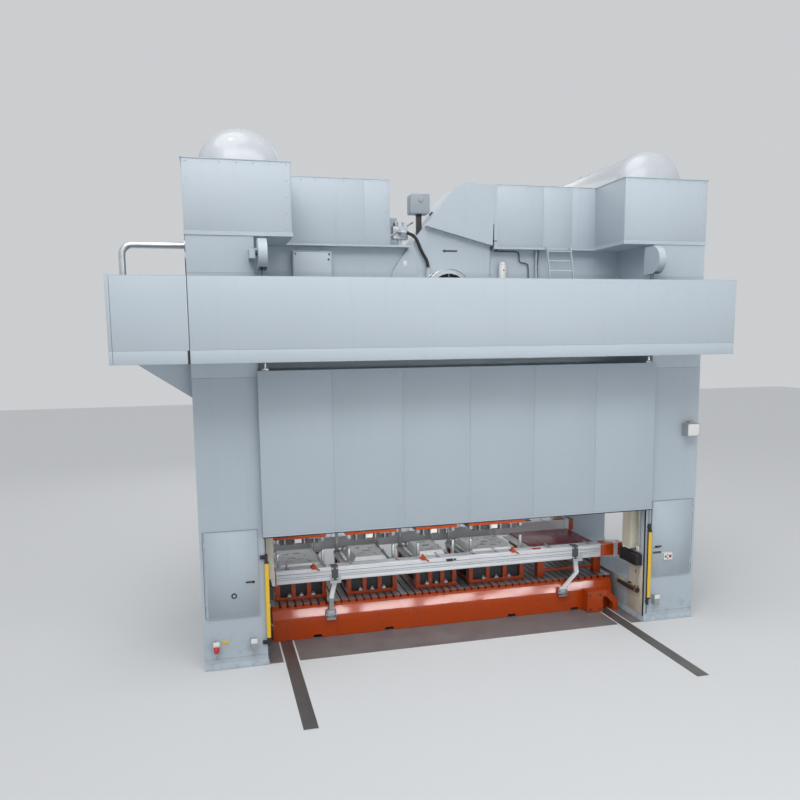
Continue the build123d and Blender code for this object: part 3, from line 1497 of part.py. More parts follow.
def make_crown_fittings():
    pieces = []
    wall = -crown_half_depth
    cabinet = block(cabinet_left, cabinet_right, wall - cabinet_depth, wall, cabinet_bottom, cabinet_top)
    pieces.append(fillet(cabinet.edges().filter_by(Axis.Y), 10))
    for x in (cabinet_left + 2 * strap_width, cabinet_right - 3 * strap_width):
        pieces.append(block(x, x + strap_width, wall - strap_thickness, wall, cabinet_top, crown_top))
    stand_y = wall - riser_gap - receiver_radius
    receiver = round_z(receiver_x, stand_y, receiver_radius, service_floor_height, receiver_top)
    pieces.append(fillet(receiver.edges().filter_by(GeomType.CIRCLE).sort_by(Axis.Z)[-1], receiver_radius * 0.8))
    riser = round_z(riser_x, wall - riser_gap - riser_radius, riser_radius, service_floor_height, riser_top)
    riser += block(riser_x - riser_radius, riser_x + riser_radius, wall - riser_gap - riser_radius, wall,
                   riser_top - 300, riser_top - 260)
    pieces.append(riser)
    front, back = valve_y - valve_depth / 2, valve_y + valve_depth / 2
    valve = block(valve_left, valve_right, front, back, valve_bottom, valve_top)
    middle = (valve_left + valve_right) / 2
    valve += block(middle - 40, middle + 40, valve_y - 40, valve_y + 40, deck_top, valve_bottom)
    valve += round_z(middle - 80, valve_y, 45, valve_top, valve_top + 90)
    corner, heading = hose_elbow()
    elbow_radius = hose_radius + hose_union_wall
    valve += round_y(corner.X, corner.Z, elbow_radius, corner.Y, front)
    valve += Pos(*corner) * Sphere(elbow_radius)
    valve += extrude(Plane(origin=corner, z_dir=heading) * Circle(elbow_radius), hose_elbow_reach)
    pieces.append(valve)
    half = inching_depth / 2
    inching = block(inching_left, inching_right, inching_y - half, inching_y + half, inching_bottom, inching_top)
    inching = fillet(inching.edges().filter_by(Axis.Y), 30)
    middle = (inching_left + inching_right) / 2
    inching += block(middle - 45, middle + 45, inching_y - 45, inching_y + 45, deck_top, inching_bottom)
    pieces.append(inching - along_y(hood_outline(0), -deck_half_depth, hood_back))
    return pieces


def make_air_pipe():
    x0, x1 = -column_outer, -air_pipe_x
    route = FilletPolyline((x0, air_pipe_y, air_pipe_height), (x1, air_pipe_y, air_pipe_height),
                           (x1, air_pipe_y, service_floor_height), radius=air_pipe_bend)
    section = Plane(origin=(x0, air_pipe_y, air_pipe_height), z_dir=(-1, 0, 0)) * Circle(air_pipe_radius)
    pipe = sweep(section, path=route)
    pipe += round_x(air_pipe_y, air_pipe_height, air_pipe_flange, x0, x0 - air_pipe_flange_thickness)
    return pipe + round_z(x1, air_pipe_y, air_pipe_flange, service_floor_height,
                          service_floor_height + air_pipe_flange_thickness)


def make_hose():
    """Air hose from the valves to the clutch guard, straight runs joined by tangent arcs."""
    boss_x, boss_y, boss_top = hose_boss_place()
    end = Vector(boss_x, boss_y, boss_top + hose_union_length)
    middle, heading = hose_elbow()
    start = middle + heading * hose_elbow_reach
    corners = [start]
    corners += [start + Vector(right, 0, up) for right, up in hose_bends]
    corners += [end + Vector(0, 0, hose_last_run), end]
    radii = []
    for before, here, after in zip(corners, corners[1:], corners[2:]):
        turn = radians((here - before).get_angle(after - here))
        shorter = min((here - before).length, (after - here).length)
        radii.append(0.45 * shorter / tan(turn / 2))
    print("hose radii", [round(radius) for radius in radii])
    route = FilletPolyline(*corners, radius=radii)
    section = Plane(origin=start, z_dir=heading) * Circle(hose_radius)
    return sweep(section, path=route)


def main():
    save("bed", make_bed())
    save("left_column", make_column(-1))
    save("right_column", make_column(1))
    save("crown", make_crown())
    save("tie_rods", *make_tie_rods())
    save("roof_covers", *make_roof_covers())
    save("air_tanks", *make_air_tanks())
    phases = gear_phases()
    save("left_crankshaft", *make_crank_gear(-1, phases["left_main"]))
    save("right_crankshaft", *make_crank_gear(1, phases["right_main"]))
    save("left_idler", make_idler(-1, phases["left_idler"]))
    save("right_idler", make_idler(1, phases["right_idler"]))
    save("drive_shaft", make_drive_shaft(phases["pinion"]))
    save("flywheel", make_flywheel())
    save("crown_bushes", *make_bushes())
    for side, word in ((-1, "left"), (1, "right")):
        save(f"{word}_lever", *make_lever(side))
        save(f"{word}_rod", *make_rod(side))
        save(f"{word}_rocker", *make_rocker(side))
        save(f"{word}_access_door", *make_access_door(side))
        save(f"{word}_door_handle", make_handle(side))
    save("slide", make_slide())
    save("plungers", *make_plungers())
    save("counterbalance_cylinders", *make_counterbalance())
    save("slide_gibs", *make_gibs())
    save("belt_hood", make_hood())
    save("clutch_guard", make_cage())
    save("drive_belt", make_belt())
    save("drive_motor", make_motor())
    save("motor_pulley", make_motor_pulley())
    save("bolster_plate", make_bolster_plate())
    save("bolster", *make_bolster())
    save("front_bolster_wheels", *make_wheels(-1))
    save("rear_bolster_wheels", *make_wheels(1))
    save("runway_rails", *make_runway())
    save("lower_dies", *make_lower_dies())
    save("upper_dies", *make_upper_dies())
    save("part_stand", make_stand())
    for name, make in (("transfer_rail", make_rail), ("rail_saddles", make_rail_saddles),
                       ("rail_carriages", make_carriages)):
        pieces = make()
        save(f"front_{name}", *pieces)
        save(f"rear_{name}", *[mirror(piece, Plane.XZ) for piece in pieces])
    save("rail_drive_boxes", *make_drive_boxes())
    save("front_door", make_front_door())
    save("hoist_drums", *make_drums())
    save("door_ropes", *make_ropes())
    save("hoist_guards", *make_hoist_guards())
    save("front_walkway", *make_walkway())
    save("red_button", make_red_button())
    save("column_fittings", *make_column_fittings())
    save("light_curtains", *make_curtains())
    save("crown_ladder", make_ladder())
    save("crown_fittings", *make_crown_fittings())
    save("air_pipe", make_air_pipe())
    save("air_hose", make_hose())


main()
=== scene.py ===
# %% [markdown]
# # A link drive press, dressed for its picture
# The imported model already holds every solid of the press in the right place, in metres, with the origin
# under the middle of its bed. This script keeps those solids, gives them paint, steel and rubber, and adds
# the sheet seams, bolts, hinges, dies and hoses that a solid is too plain for. Heights are easier to think
# about from the shop floor, which is 2.8 m above the origin, because the bed stands in a pit.

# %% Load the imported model
import math

import bmesh
import bpy
from mathutils import Matrix, Vector


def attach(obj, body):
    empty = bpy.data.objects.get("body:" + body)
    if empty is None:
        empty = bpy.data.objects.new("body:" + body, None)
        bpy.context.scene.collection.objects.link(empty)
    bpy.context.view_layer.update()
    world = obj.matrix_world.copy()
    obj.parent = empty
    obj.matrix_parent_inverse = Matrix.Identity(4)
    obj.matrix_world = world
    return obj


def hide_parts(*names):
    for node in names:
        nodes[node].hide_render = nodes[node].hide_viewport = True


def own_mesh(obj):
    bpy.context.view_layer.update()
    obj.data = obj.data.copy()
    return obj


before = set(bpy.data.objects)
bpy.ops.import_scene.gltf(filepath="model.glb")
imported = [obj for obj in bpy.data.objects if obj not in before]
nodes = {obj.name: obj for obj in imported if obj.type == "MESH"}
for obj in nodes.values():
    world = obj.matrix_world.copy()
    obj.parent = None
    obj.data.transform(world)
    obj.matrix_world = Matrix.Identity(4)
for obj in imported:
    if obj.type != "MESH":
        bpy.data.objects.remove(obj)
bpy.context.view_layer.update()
shop_floor = 2.8
both_sides = ((-1, "left"), (1, "right"))

# %% [markdown]
# ## Small helpers for mesh work
# A piece is often several simple forms that are welded or bolted together in reality, such as a box with
# its lid and hinges. The Shape class below collects such forms in one mesh, each with softened edges,
# because no real edge is perfectly sharp and a soft edge catches the light. A piece then becomes an object
# whose place is in its mesh, which rides on one body of the press. Heights in a Shape count from the shop
# floor, and the finished piece is lifted by the depth of the pit.

# %% A collector of simple forms
edge_turn = 0.6  # radians between two faces above which their edge is softened
smooth_degrees = 35  # degrees between two faces up to which they are shaded as one
finest_radius = 1e-5


class Shape:
    def __init__(self):
        self.mesh = bmesh.new()

    def soften(self, made, width):
        edges = {edge for vertex in made for edge in vertex.link_edges}
        sharp = [edge for edge in edges if edge.is_manifold and edge.calc_face_angle() > edge_turn]
        bmesh.ops.bevel(self.mesh, geom=sharp, offset=width, segments=2, profile=0.6, affect="EDGES")

    def box(self, x0, x1, y0, y1, z0, z1, soft=0.0, turn=None):
        middle = Vector(((x0 + x1) / 2, (y0 + y1) / 2, (z0 + z1) / 2))
        size = Matrix.Diagonal((abs(x1 - x0), abs(y1 - y0), abs(z1 - z0), 1))
        place = Matrix.Translation(middle) @ (turn or Matrix()) @ size
        made = bmesh.ops.create_cube(self.mesh, size=1, matrix=place)["verts"]
        if soft:
            self.soften(made, soft)
        return self

    def rod(self, start, end, radius, sides=24):
        start, end = Vector(start), Vector(end)
        along = end - start
        place = Matrix.Translation((start + end) / 2) @ along.to_track_quat("Z", "Y").to_matrix().to_4x4()
        bmesh.ops.create_cone(self.mesh, cap_ends=True, segments=sides, radius1=radius, radius2=radius,
                              depth=along.length, matrix=place)
        return self

    def ring(self, middle, side, other, radius, sides):
        """A circle of vertices in the plane of two directions."""
        made = []
        for step in range(sides):
            angle = 2 * math.pi * step / sides
            spoke = side * math.cos(angle) + other * math.sin(angle)
            made.append(self.mesh.verts.new(middle + spoke * radius))
        return made

    def skinned(self, rings, hollow=False):
        """Faces from ring to ring, with both ends closed unless the last ring meets the first again."""
        faces = []
        for low, high in zip(rings, rings[1:] + rings[:1] if hollow else rings[1:]):
            for step in range(len(low)):
                after = (step + 1) % len(low)
                faces.append(self.mesh.faces.new((low[step], low[after], high[after], high[step])))
        if not hollow:
            faces.append(self.mesh.faces.new(list(reversed(rings[0]))))
            faces.append(self.mesh.faces.new(rings[-1]))
        bmesh.ops.recalc_face_normals(self.mesh, faces=faces)
        return self

    def turned(self, start, direction, profile, sides=32, hollow=False):
        """A lathe form: profile is a list of (distance along the axis, radius). A hollow one is a ring."""
        start, direction = Vector(start), Vector(direction).normalized()
        side = direction.orthogonal().normalized()
        other = direction.cross(side)
        rings = [self.ring(start + direction * along, side, other, max(radius, finest_radius), sides)
                 for along, radius in profile]
        return self.skinned(rings, hollow)

    def knob(self, start, direction, radius, height, tip_height, tip_radius, sides=20):
        """A short round boss that narrows at its tip."""
        return self.turned(start, direction, [(0, radius), (height, radius), (tip_height, tip_radius)], sides)

    def plate(self, corners, thickness, soft=0.0):
        """A flat plate: corners go round its face, thickness is a vector from that face to the other."""
        near = [self.mesh.verts.new(Vector(corner)) for corner in corners]
        far = [self.mesh.verts.new(Vector(corner) + Vector(thickness)) for corner in corners]
        faces = [self.mesh.faces.new(near), self.mesh.faces.new(list(reversed(far)))]
        for step in range(len(near)):
            after = (step + 1) % len(near)
            faces.append(self.mesh.faces.new((near[after], near[step], far[step], far[after])))
        bmesh.ops.recalc_face_normals(self.mesh, faces=faces)
        if soft:
            self.soften(near + far, soft)
        return self

    def tube(self, points, radius, sides=12):
        """A round tube along points, with closed ends."""
        path = [Vector(point) for point in points]
        rings = []
        side = None
        for index, here in enumerate(path):
            before = path[max(index - 1, 0)]
            after = path[min(index + 1, len(path) - 1)]
            along = (after - before).normalized()
            side = along.orthogonal() if side is None else side - along * side.dot(along)
            side.normalize()
            rings.append(self.ring(here, side, along.cross(side), radius, sides))
        return self.skinned(rings)

    def piece(self, name, body, material):
        bmesh.ops.translate(self.mesh, verts=self.mesh.verts, vec=(0, 0, shop_floor))
        data = bpy.data.meshes.new(name)
        self.mesh.to_mesh(data)
        self.mesh.free()
        made = bpy.data.objects.new(name, data)
        bpy.context.collection.objects.link(made)
        return finished(made, body, material)


def finished(made, body, material):
    """Shade a piece by angle, give it its material and let it ride on a body."""
    made.data.materials.clear()
    made.data.materials.append(material)
    for face in made.data.polygons:
        face.use_smooth = True
    made.data.set_sharp_from_angle(angle=math.radians(smooth_degrees))
    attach(made, body)
    return made


print("helpers ready")

# %% [markdown]
# ## Effects that several finishes share
# Real paint and steel are never one colour. Four effects come back in the materials here, so each is a
# node group that is built once: a slow change of tone over a large sheet, streaks that run down a wall,
# dust that settles on what faces up, and a mask of the outer edges where paint rubs off. A group keeps one
# effect in one place, and each material feeds it its own scale and strength.

# %% A small language for node trees


def start_group(name, inputs, outputs):
    tree = bpy.data.node_groups.new(name, "ShaderNodeTree")
    for label, kind, value in inputs:
        socket = tree.interface.new_socket(label, in_out="INPUT", socket_type=kind)
        socket.default_value = value
    for label, kind in outputs:
        tree.interface.new_socket(label, in_out="OUTPUT", socket_type=kind)
    return tree, tree.nodes.new("NodeGroupInput"), tree.nodes.new("NodeGroupOutput")


def node(tree, kind, settings=None, **inputs):
    """Add a node, set its own settings, and join or set its inputs; input names use _ for a space."""
    made = tree.nodes.new(kind)
    for key, value in (settings or {}).items():
        setattr(made, key, value)
    for key, value in inputs.items():
        socket = made.inputs[int(key[2:])] if key.startswith("at") else made.inputs[key.replace("_", " ")]
        if isinstance(value, bpy.types.NodeSocket):
            tree.links.new(value, socket)
        else:
            socket.default_value = value
    return made


def sums(tree, operation, first, second=0.0, clamp=False):
    return node(tree, "ShaderNodeMath", {"operation": operation, "use_clamp": clamp},
                at0=first, at1=second).outputs[0]


def ramp(tree, value, low, high, to_low=0.0, to_high=1.0):
    return node(tree, "ShaderNodeMapRange", {"interpolation_type": "SMOOTHSTEP"}, Value=value, From_Min=low,
                From_Max=high, To_Min=to_low, To_Max=to_high).outputs[0]


def mixed(tree, amount, first, second):
    made = node(tree, "ShaderNodeMix", {"data_type": "RGBA"})
    for socket, value in ((made.inputs[0], amount), (made.inputs[6], first), (made.inputs[7], second)):
        if isinstance(value, bpy.types.NodeSocket):
            tree.links.new(value, socket)
        elif socket.type == "RGBA":
            socket.default_value = (*value, 1) if len(value) == 3 else value
        else:
            socket.default_value = value
    return made.outputs[2]


def scaled(tree, vector, amount):
    return node(tree, "ShaderNodeVectorMath", {"operation": "SCALE"}, at0=vector, Scale=amount).outputs[0]


def stretched(tree, vector, scale):
    return node(tree, "ShaderNodeMapping", {"vector_type": "POINT"}, Vector=vector, Scale=scale).outputs[0]


print("node helpers ready")

# %% Shared effects as node groups
FLOAT, VECTOR = "NodeSocketFloat", "NodeSocketVector"

mottle_group, enter, leave = start_group(
    "slow tone change", [("Vector", VECTOR, (0, 0, 0)), ("Scale", FLOAT, 0.6), ("Amount", FLOAT, 0.05)],
    [("Tone", FLOAT)])
noise = node(mottle_group, "ShaderNodeTexNoise", Vector=enter.outputs["Vector"], Scale=enter.outputs["Scale"],
             Detail=3.0, Roughness=0.55)
centred = sums(mottle_group, "SUBTRACT", noise.outputs["Fac"], 0.5)
spread = sums(mottle_group, "MULTIPLY", centred, enter.outputs["Amount"])
tone = sums(mottle_group, "ADD", spread, 1.0)
mottle_group.links.new(tone, leave.inputs["Tone"])

streak_group, enter, leave = start_group(
    "runs down a wall", [("Vector", VECTOR, (0, 0, 0)), ("Width", FLOAT, 9.0), ("Length", FLOAT, 0.5)],
    [("Mask", FLOAT)])
parts = node(streak_group, "ShaderNodeSeparateXYZ", Vector=enter.outputs["Vector"])
wide_x = sums(streak_group, "MULTIPLY", parts.outputs[0], enter.outputs["Width"])
wide_y = sums(streak_group, "MULTIPLY", parts.outputs[1], enter.outputs["Width"])
tall_z = sums(streak_group, "MULTIPLY", parts.outputs[2], enter.outputs["Length"])
spread = node(streak_group, "ShaderNodeCombineXYZ", X=wide_x, Y=wide_y, Z=tall_z)
noise = node(streak_group, "ShaderNodeTexNoise", Vector=spread.outputs[0], Scale=1.0, Detail=4.0,
             Roughness=0.6)
streak_group.links.new(ramp(streak_group, noise.outputs["Fac"], 0.5, 0.78), leave.inputs["Mask"])

dust_group, enter, leave = start_group(
    "dust on what faces up", [("Vector", VECTOR, (0, 0, 0)), ("Scale", FLOAT, 3.0)], [("Mask", FLOAT)])
geometry = node(dust_group, "ShaderNodeNewGeometry")
up = node(dust_group, "ShaderNodeSeparateXYZ", Vector=geometry.outputs["Normal"]).outputs[2]
noise = node(dust_group, "ShaderNodeTexNoise", Vector=enter.outputs["Vector"], Scale=enter.outputs["Scale"],
             Detail=5.0, Roughness=0.7)
patchy = ramp(dust_group, noise.outputs["Fac"], 0.3, 0.7)
settled = sums(dust_group, "MULTIPLY", ramp(dust_group, up, 0.5, 0.98), patchy)
dust_group.links.new(settled, leave.inputs["Mask"])

wear_group, enter, leave = start_group(
    "worn outer edges", [("Vector", VECTOR, (0, 0, 0)), ("Width", FLOAT, 0.01), ("Breaks", FLOAT, 14.0)],
    [("Mask", FLOAT), ("Round normal", VECTOR)])
rounded = node(wear_group, "ShaderNodeBevel", {"samples": 4}, Radius=enter.outputs["Width"])
geometry = node(wear_group, "ShaderNodeNewGeometry")
alike = node(wear_group, "ShaderNodeVectorMath", {"operation": "DOT_PRODUCT"}, at0=rounded.outputs[0],
             at1=geometry.outputs["Normal"]).outputs["Value"]
edge = ramp(wear_group, alike, 0.97, 0.80)
noise = node(wear_group, "ShaderNodeTexNoise", Vector=enter.outputs["Vector"], Scale=enter.outputs["Breaks"],
             Detail=5.0, Roughness=0.65)
broken = ramp(wear_group, noise.outputs["Fac"], 0.45, 0.62)
wear_group.links.new(sums(wear_group, "MULTIPLY", edge, broken), leave.inputs["Mask"])
wear_group.links.new(rounded.outputs[0], leave.inputs["Round normal"])
print("node groups", [group.name for group in bpy.data.node_groups])

# %% [markdown]
# ## Finishes
# The press is sprayed in a pale blue grey enamel, a satin paint over steel sheet: smooth, with a faint
# orange peel that only shows in a grazing light. The same recipe in other colours makes the white tanks,
# the orange bolster and the yellow light curtains, so one function writes all painted finishes. Machined
# steel needs a second recipe, because its grain comes from the tool and its colour from oil and wear.

# %% One recipe for every paint


def in_group(tree, group, **inputs):
    return node(tree, "ShaderNodeGroup", {"node_tree": group}, **inputs)


def blank_finish(name, slot):
    """A new material that knows its slot, with its tree, its shader and the place that patterns go by."""
    material = bpy.data.materials.new(name)
    material["slot"] = slot
    material.use_nodes = True
    tree = material.node_tree
    where = node(tree, "ShaderNodeTexCoord").outputs["Object"]
    return material, tree, tree.nodes["Principled BSDF"], where


def paint(name, slot, colour, rough=0.38, tone=0.06, grime=0.05, dust=0.25, wear=0.0, width=0.006,
          under=(0.16, 0.16, 0.17), peel=0.06, peel_scale=260.0, coat=0.0, sheet=0.0, low_grime=0.0,
          specular=0.5):
    material, tree, shader, where = blank_finish(name, slot)
    slow = in_group(tree, mottle_group, Vector=where, Scale=0.7, Amount=tone).outputs["Tone"]
    fine = in_group(tree, mottle_group, Vector=where, Scale=11.0, Amount=tone * 0.6).outputs["Tone"]
    both_tones = sums(tree, "MULTIPLY", slow, fine)
    shade = scaled(tree, colour, both_tones)
    runs = in_group(tree, streak_group, Vector=where, Width=7.0, Length=0.45).outputs["Mask"]
    soiled = mixed(tree, sums(tree, "MULTIPLY", runs, grime), shade, [0.32 * c + 0.03 for c in colour])
    if low_grime:
        height = node(tree, "ShaderNodeSeparateXYZ", Vector=where).outputs[2]
        low = ramp(tree, height, shop_floor + 0.9, shop_floor)
        scuffs = node(tree, "ShaderNodeTexNoise", Vector=where, Scale=6.0, Detail=6.0, Roughness=0.7)
        patch = sums(tree, "MULTIPLY", low, ramp(tree, scuffs.outputs["Fac"], 0.42, 0.75))
        soiled = mixed(tree, sums(tree, "MULTIPLY", patch, low_grime), soiled, (0.10, 0.095, 0.09))
    settled = in_group(tree, dust_group, Vector=where, Scale=2.2).outputs["Mask"]
    dusty = mixed(tree, sums(tree, "MULTIPLY", settled, dust), soiled, (0.33, 0.31, 0.28))
    rub = in_group(tree, wear_group, Vector=where, Width=width, Breaks=9.0)
    worn = sums(tree, "MULTIPLY", rub.outputs["Mask"], wear)
    tree.links.new(mixed(tree, worn, dusty, under), shader.inputs["Base Color"])
    matt = sums(tree, "ADD", sums(tree, "MULTIPLY", settled, 0.3 * dust + 0.1), rough)
    uneven = node(tree, "ShaderNodeTexNoise", Vector=where, Scale=1.7, Detail=4.0, Roughness=0.6)
    gloss = ramp(tree, uneven.outputs["Fac"], 0.3, 0.7, -0.05, 0.05)
    tree.links.new(sums(tree, "ADD", matt, gloss, clamp=True), shader.inputs["Roughness"])
    skin = node(tree, "ShaderNodeTexNoise", Vector=where, Scale=peel_scale, Detail=2.0, Roughness=0.5)
    waves = node(tree, "ShaderNodeTexNoise", Vector=where, Scale=1.1, Detail=1.0, Roughness=0.4)
    first = node(tree, "ShaderNodeBump", Strength=peel, Distance=0.001, Height=skin.outputs["Fac"],
                 Normal=rub.outputs["Round normal"])
    second = node(tree, "ShaderNodeBump", Strength=sheet, Distance=0.02, Height=waves.outputs["Fac"],
                  Normal=first.outputs[0])
    tree.links.new(second.outputs[0], shader.inputs["Normal"])
    shader.inputs["Coat Weight"].default_value = coat
    shader.inputs["Coat Roughness"].default_value = 0.08
    shader.inputs["Specular IOR Level"].default_value = specular
    return material


body_paint = paint("body_enamel", "body_paint", (0.520, 0.585, 0.640), rough=0.42, tone=0.05, sheet=0.08,
                   low_grime=0.35)
door_paint = paint("door_enamel", "body_paint", (0.455, 0.520, 0.575), rough=0.45, tone=0.04, grime=0.03,
                   sheet=0.10)
# Painted shade: the columns carry the body enamel made darker, for the shade they stand in.
column_paint_with_painted_shade = paint("column_enamel_painted_shade", "body_paint", (0.450, 0.515, 0.570), rough=0.42, tone=0.05, sheet=0.08,
                     low_grime=0.35)
parapet_paint = paint("parapet_enamel", "body_paint", (0.500, 0.565, 0.620), rough=0.40, tone=0.04,
                      grime=0.04, sheet=0.08)
tank_paint = paint("tank_enamel", "tank_paint", (0.56, 0.59, 0.62), rough=0.20, tone=0.03, grime=0.05,
                   dust=0.10, coat=0.4)
orange_paint = paint("orange_enamel", "orange_paint", (0.440, 0.052, 0.002), rough=0.24, tone=0.12,
                     grime=0.25, dust=0.06, wear=0.4, width=0.008, under=(0.20, 0.07, 0.03), coat=0.7,
                     specular=0.15)
yellow_paint = paint("yellow_enamel", "yellow_paint", (0.85, 0.52, 0.02), rough=0.35, wear=0.2)
cream_paint = paint("cream_enamel", "body_paint", (0.66, 0.62, 0.50), rough=0.45, grime=0.25, low_grime=0.4)
dark_paint = paint("black_enamel", "black_paint", (0.022, 0.023, 0.025), rough=0.42, wear=0.4,
                   under=(0.35, 0.35, 0.36))
charcoal_paint = paint("charcoal_enamel", "grey_plastic", (0.07, 0.075, 0.08), rough=0.45)
grey_plastic = paint("grey_plastic", "grey_plastic", (0.34, 0.36, 0.37), rough=0.5, peel=0.2, peel_scale=500)
white_plastic = paint("white_plastic", "grey_plastic", (0.80, 0.80, 0.78), rough=0.42, peel=0.15)
red_plastic = paint("red_plastic", "red_plastic", (0.60, 0.012, 0.010), rough=0.28, grime=0.0, dust=0.0,
                    coat=0.3)
machine_green = paint("casting_enamel", "cast_iron", (0.20, 0.24, 0.25), rough=0.5, peel=0.5, peel_scale=90,
                      grime=0.3, wear=0.5)
cabinet_paint = paint("cabinet_enamel", "body_paint", (0.54, 0.60, 0.65), rough=0.40)
grey_paint = paint("motor_box_enamel", "grey_plastic", (0.36, 0.40, 0.43), rough=0.45)
bed_paint = paint("bed_enamel", "body_paint", (0.135, 0.125, 0.130), rough=0.42, tone=0.25, grime=0.1,
                  dust=0.25, wear=0.2)
wine_paint = paint("dark_red_enamel", "red_plastic", (0.200, 0.006, 0.020), rough=0.20, tone=0.05, grime=0.0,
                   dust=0.0, specular=0.30)
yellow_plate = paint("bare_yellow_plate", "yellow_paint", (0.72, 0.50, 0.04), rough=0.4, grime=0.0)
smoked = paint("smoked_lens", "grey_plastic", (0.020, 0.012, 0.012), rough=0.10, grime=0.0, peel=0.0,
               coat=0.5)
print("paints", len(bpy.data.materials))

# %% [markdown]
# ### Machined and cut metal
# Ground and milled steel shows a fine grain in one direction, a slow change from dry to oily, and brighter
# edges where tools and hands have rubbed. The grain is noise that is stretched along one axis, used both
# for colour and for a very shallow bump.

# %% One recipe for bare metal


def metal(name, slot, colour, rough=0.35, grain=(3.0, 160.0, 160.0), depth=0.05, oil=0.35, oil_colour=None,
          edge=0.6, metallic=1.0, tone=0.2):
    material, tree, shader, where = blank_finish(name, slot)
    lines = node(tree, "ShaderNodeTexNoise", Vector=stretched(tree, where, grain), Scale=1.0, Detail=5.0,
                 Roughness=0.7)
    slow = in_group(tree, mottle_group, Vector=where, Scale=2.3, Amount=tone).outputs["Tone"]
    lined = ramp(tree, lines.outputs["Fac"], 0.2, 0.8, 0.92, 1.07)
    shade = scaled(tree, colour, sums(tree, "MULTIPLY", slow, lined))
    film = node(tree, "ShaderNodeTexNoise", Vector=where, Scale=1.6, Detail=6.0, Roughness=0.62)
    oily = sums(tree, "MULTIPLY", ramp(tree, film.outputs["Fac"], 0.45, 0.68), oil)
    stained = mixed(tree, oily, shade, oil_colour or [0.35 * c for c in colour])
    rub = in_group(tree, wear_group, Vector=where, Width=0.004, Breaks=20.0)
    bright = [min(1.0, 1.7 * c + 0.08) for c in colour]
    tree.links.new(mixed(tree, sums(tree, "MULTIPLY", rub.outputs["Mask"], edge), stained, bright),
                   shader.inputs["Base Color"])
    dry = ramp(tree, lines.outputs["Fac"], 0.25, 0.75, rough - 0.07, rough + 0.09)
    wet = sums(tree, "MULTIPLY", oily, -0.25)
    tree.links.new(sums(tree, "ADD", dry, wet, clamp=True), shader.inputs["Roughness"])
    shader.inputs["Metallic"].default_value = metallic
    bump = node(tree, "ShaderNodeBump", Strength=depth, Distance=0.001, Height=lines.outputs["Fac"],
                Normal=rub.outputs["Round normal"])
    tree.links.new(bump.outputs[0], shader.inputs["Normal"])
    return material


steel = metal("machined_steel", "bare_steel", (0.55, 0.56, 0.57))
die_steel = metal("die_steel", "dark_steel", (0.30, 0.31, 0.32), rough=0.38, grain=(40.0, 4.0, 40.0))
bolster_steel = metal("bolster_steel", "dark_steel", (0.34, 0.33, 0.33), rough=0.42, grain=(2.0, 90.0, 90.0),
                      oil=0.5, metallic=0.6)
blackened = metal("blackened_steel", "dark_steel", (0.10, 0.105, 0.11), rough=0.5, oil=0.4)
rail_metal = metal("rail_metal", "rail_metal", (0.74, 0.76, 0.79), rough=0.36, grain=(1.2, 120.0, 120.0),
                   depth=0.03, oil=0.08, tone=0.06, metallic=0.45)
casting = metal("machined_casting", "cast_iron", (0.30, 0.31, 0.32), rough=0.42, grain=(50.0, 50.0, 50.0),
                oil=0.5, oil_colour=(0.10, 0.075, 0.03))
bronze = metal("oiled_bronze", "bronze", (0.62, 0.42, 0.16), rough=0.3)
brass = metal("brass", "bronze", (0.72, 0.52, 0.20), rough=0.28, oil=0.2)
# The form steel is near white and almost not metallic: a painted sheen that stands for the light the ground
# die tops reflect, over the steel's real grain.
form_steel_with_painted_sheen = metal("bright_form_steel", "bare_steel", (0.84, 0.85, 0.86), rough=0.45, grain=(60.0, 3.0, 60.0),
                   depth=0.02, oil=0.05, tone=0.06, edge=0.3, metallic=0.05)
upper_steel = metal("oily_die_steel", "dark_steel", (0.14, 0.145, 0.15), rough=0.42,
                    grain=(30.0, 30.0, 5.0), oil=0.5)
mesh_black = paint("black_mesh", "dark_steel", (0.012, 0.012, 0.013), rough=0.6, dust=0.05, specular=0.2)
worn_rail = metal("worn_rail_steel", "dark_steel", (0.20, 0.19, 0.185), rough=0.45, oil=0.3, metallic=0.7)
galvanised = metal("galvanised", "rail_metal", (0.62, 0.64, 0.66), rough=0.34, grain=(18.0, 18.0, 18.0),
                   depth=0.08, oil=0.15)


def rubber(name, slot, colour, rough):
    material, tree, shader, where = blank_finish(name, slot)
    slow = in_group(tree, mottle_group, Vector=where, Scale=9.0, Amount=0.5).outputs["Tone"]
    settled = in_group(tree, dust_group, Vector=where, Scale=14.0).outputs["Mask"]
    shade = scaled(tree, colour, slow)
    tree.links.new(mixed(tree, sums(tree, "MULTIPLY", settled, 0.4), shade, (0.16, 0.155, 0.15)),
                   shader.inputs["Base Color"])
    tree.links.new(sums(tree, "ADD", sums(tree, "MULTIPLY", settled, 0.25), rough),
                   shader.inputs["Roughness"])
    skin = node(tree, "ShaderNodeTexNoise", Vector=where, Scale=420.0, Detail=3.0, Roughness=0.6)
    bump = node(tree, "ShaderNodeBump", Strength=0.2, Distance=0.001, Height=skin.outputs["Fac"])
    tree.links.new(bump.outputs[0], shader.inputs["Normal"])
    return material


black_rubber = rubber("black_rubber", "black_rubber", (0.018, 0.018, 0.019), rough=0.55)
print("finishes", len(bpy.data.materials))

# %% [markdown]
# ## Finishes for the solids
# Most solids keep their shape and only need their finish. A table says which solid gets which, so a reader
# can repaint the whole press in one place.

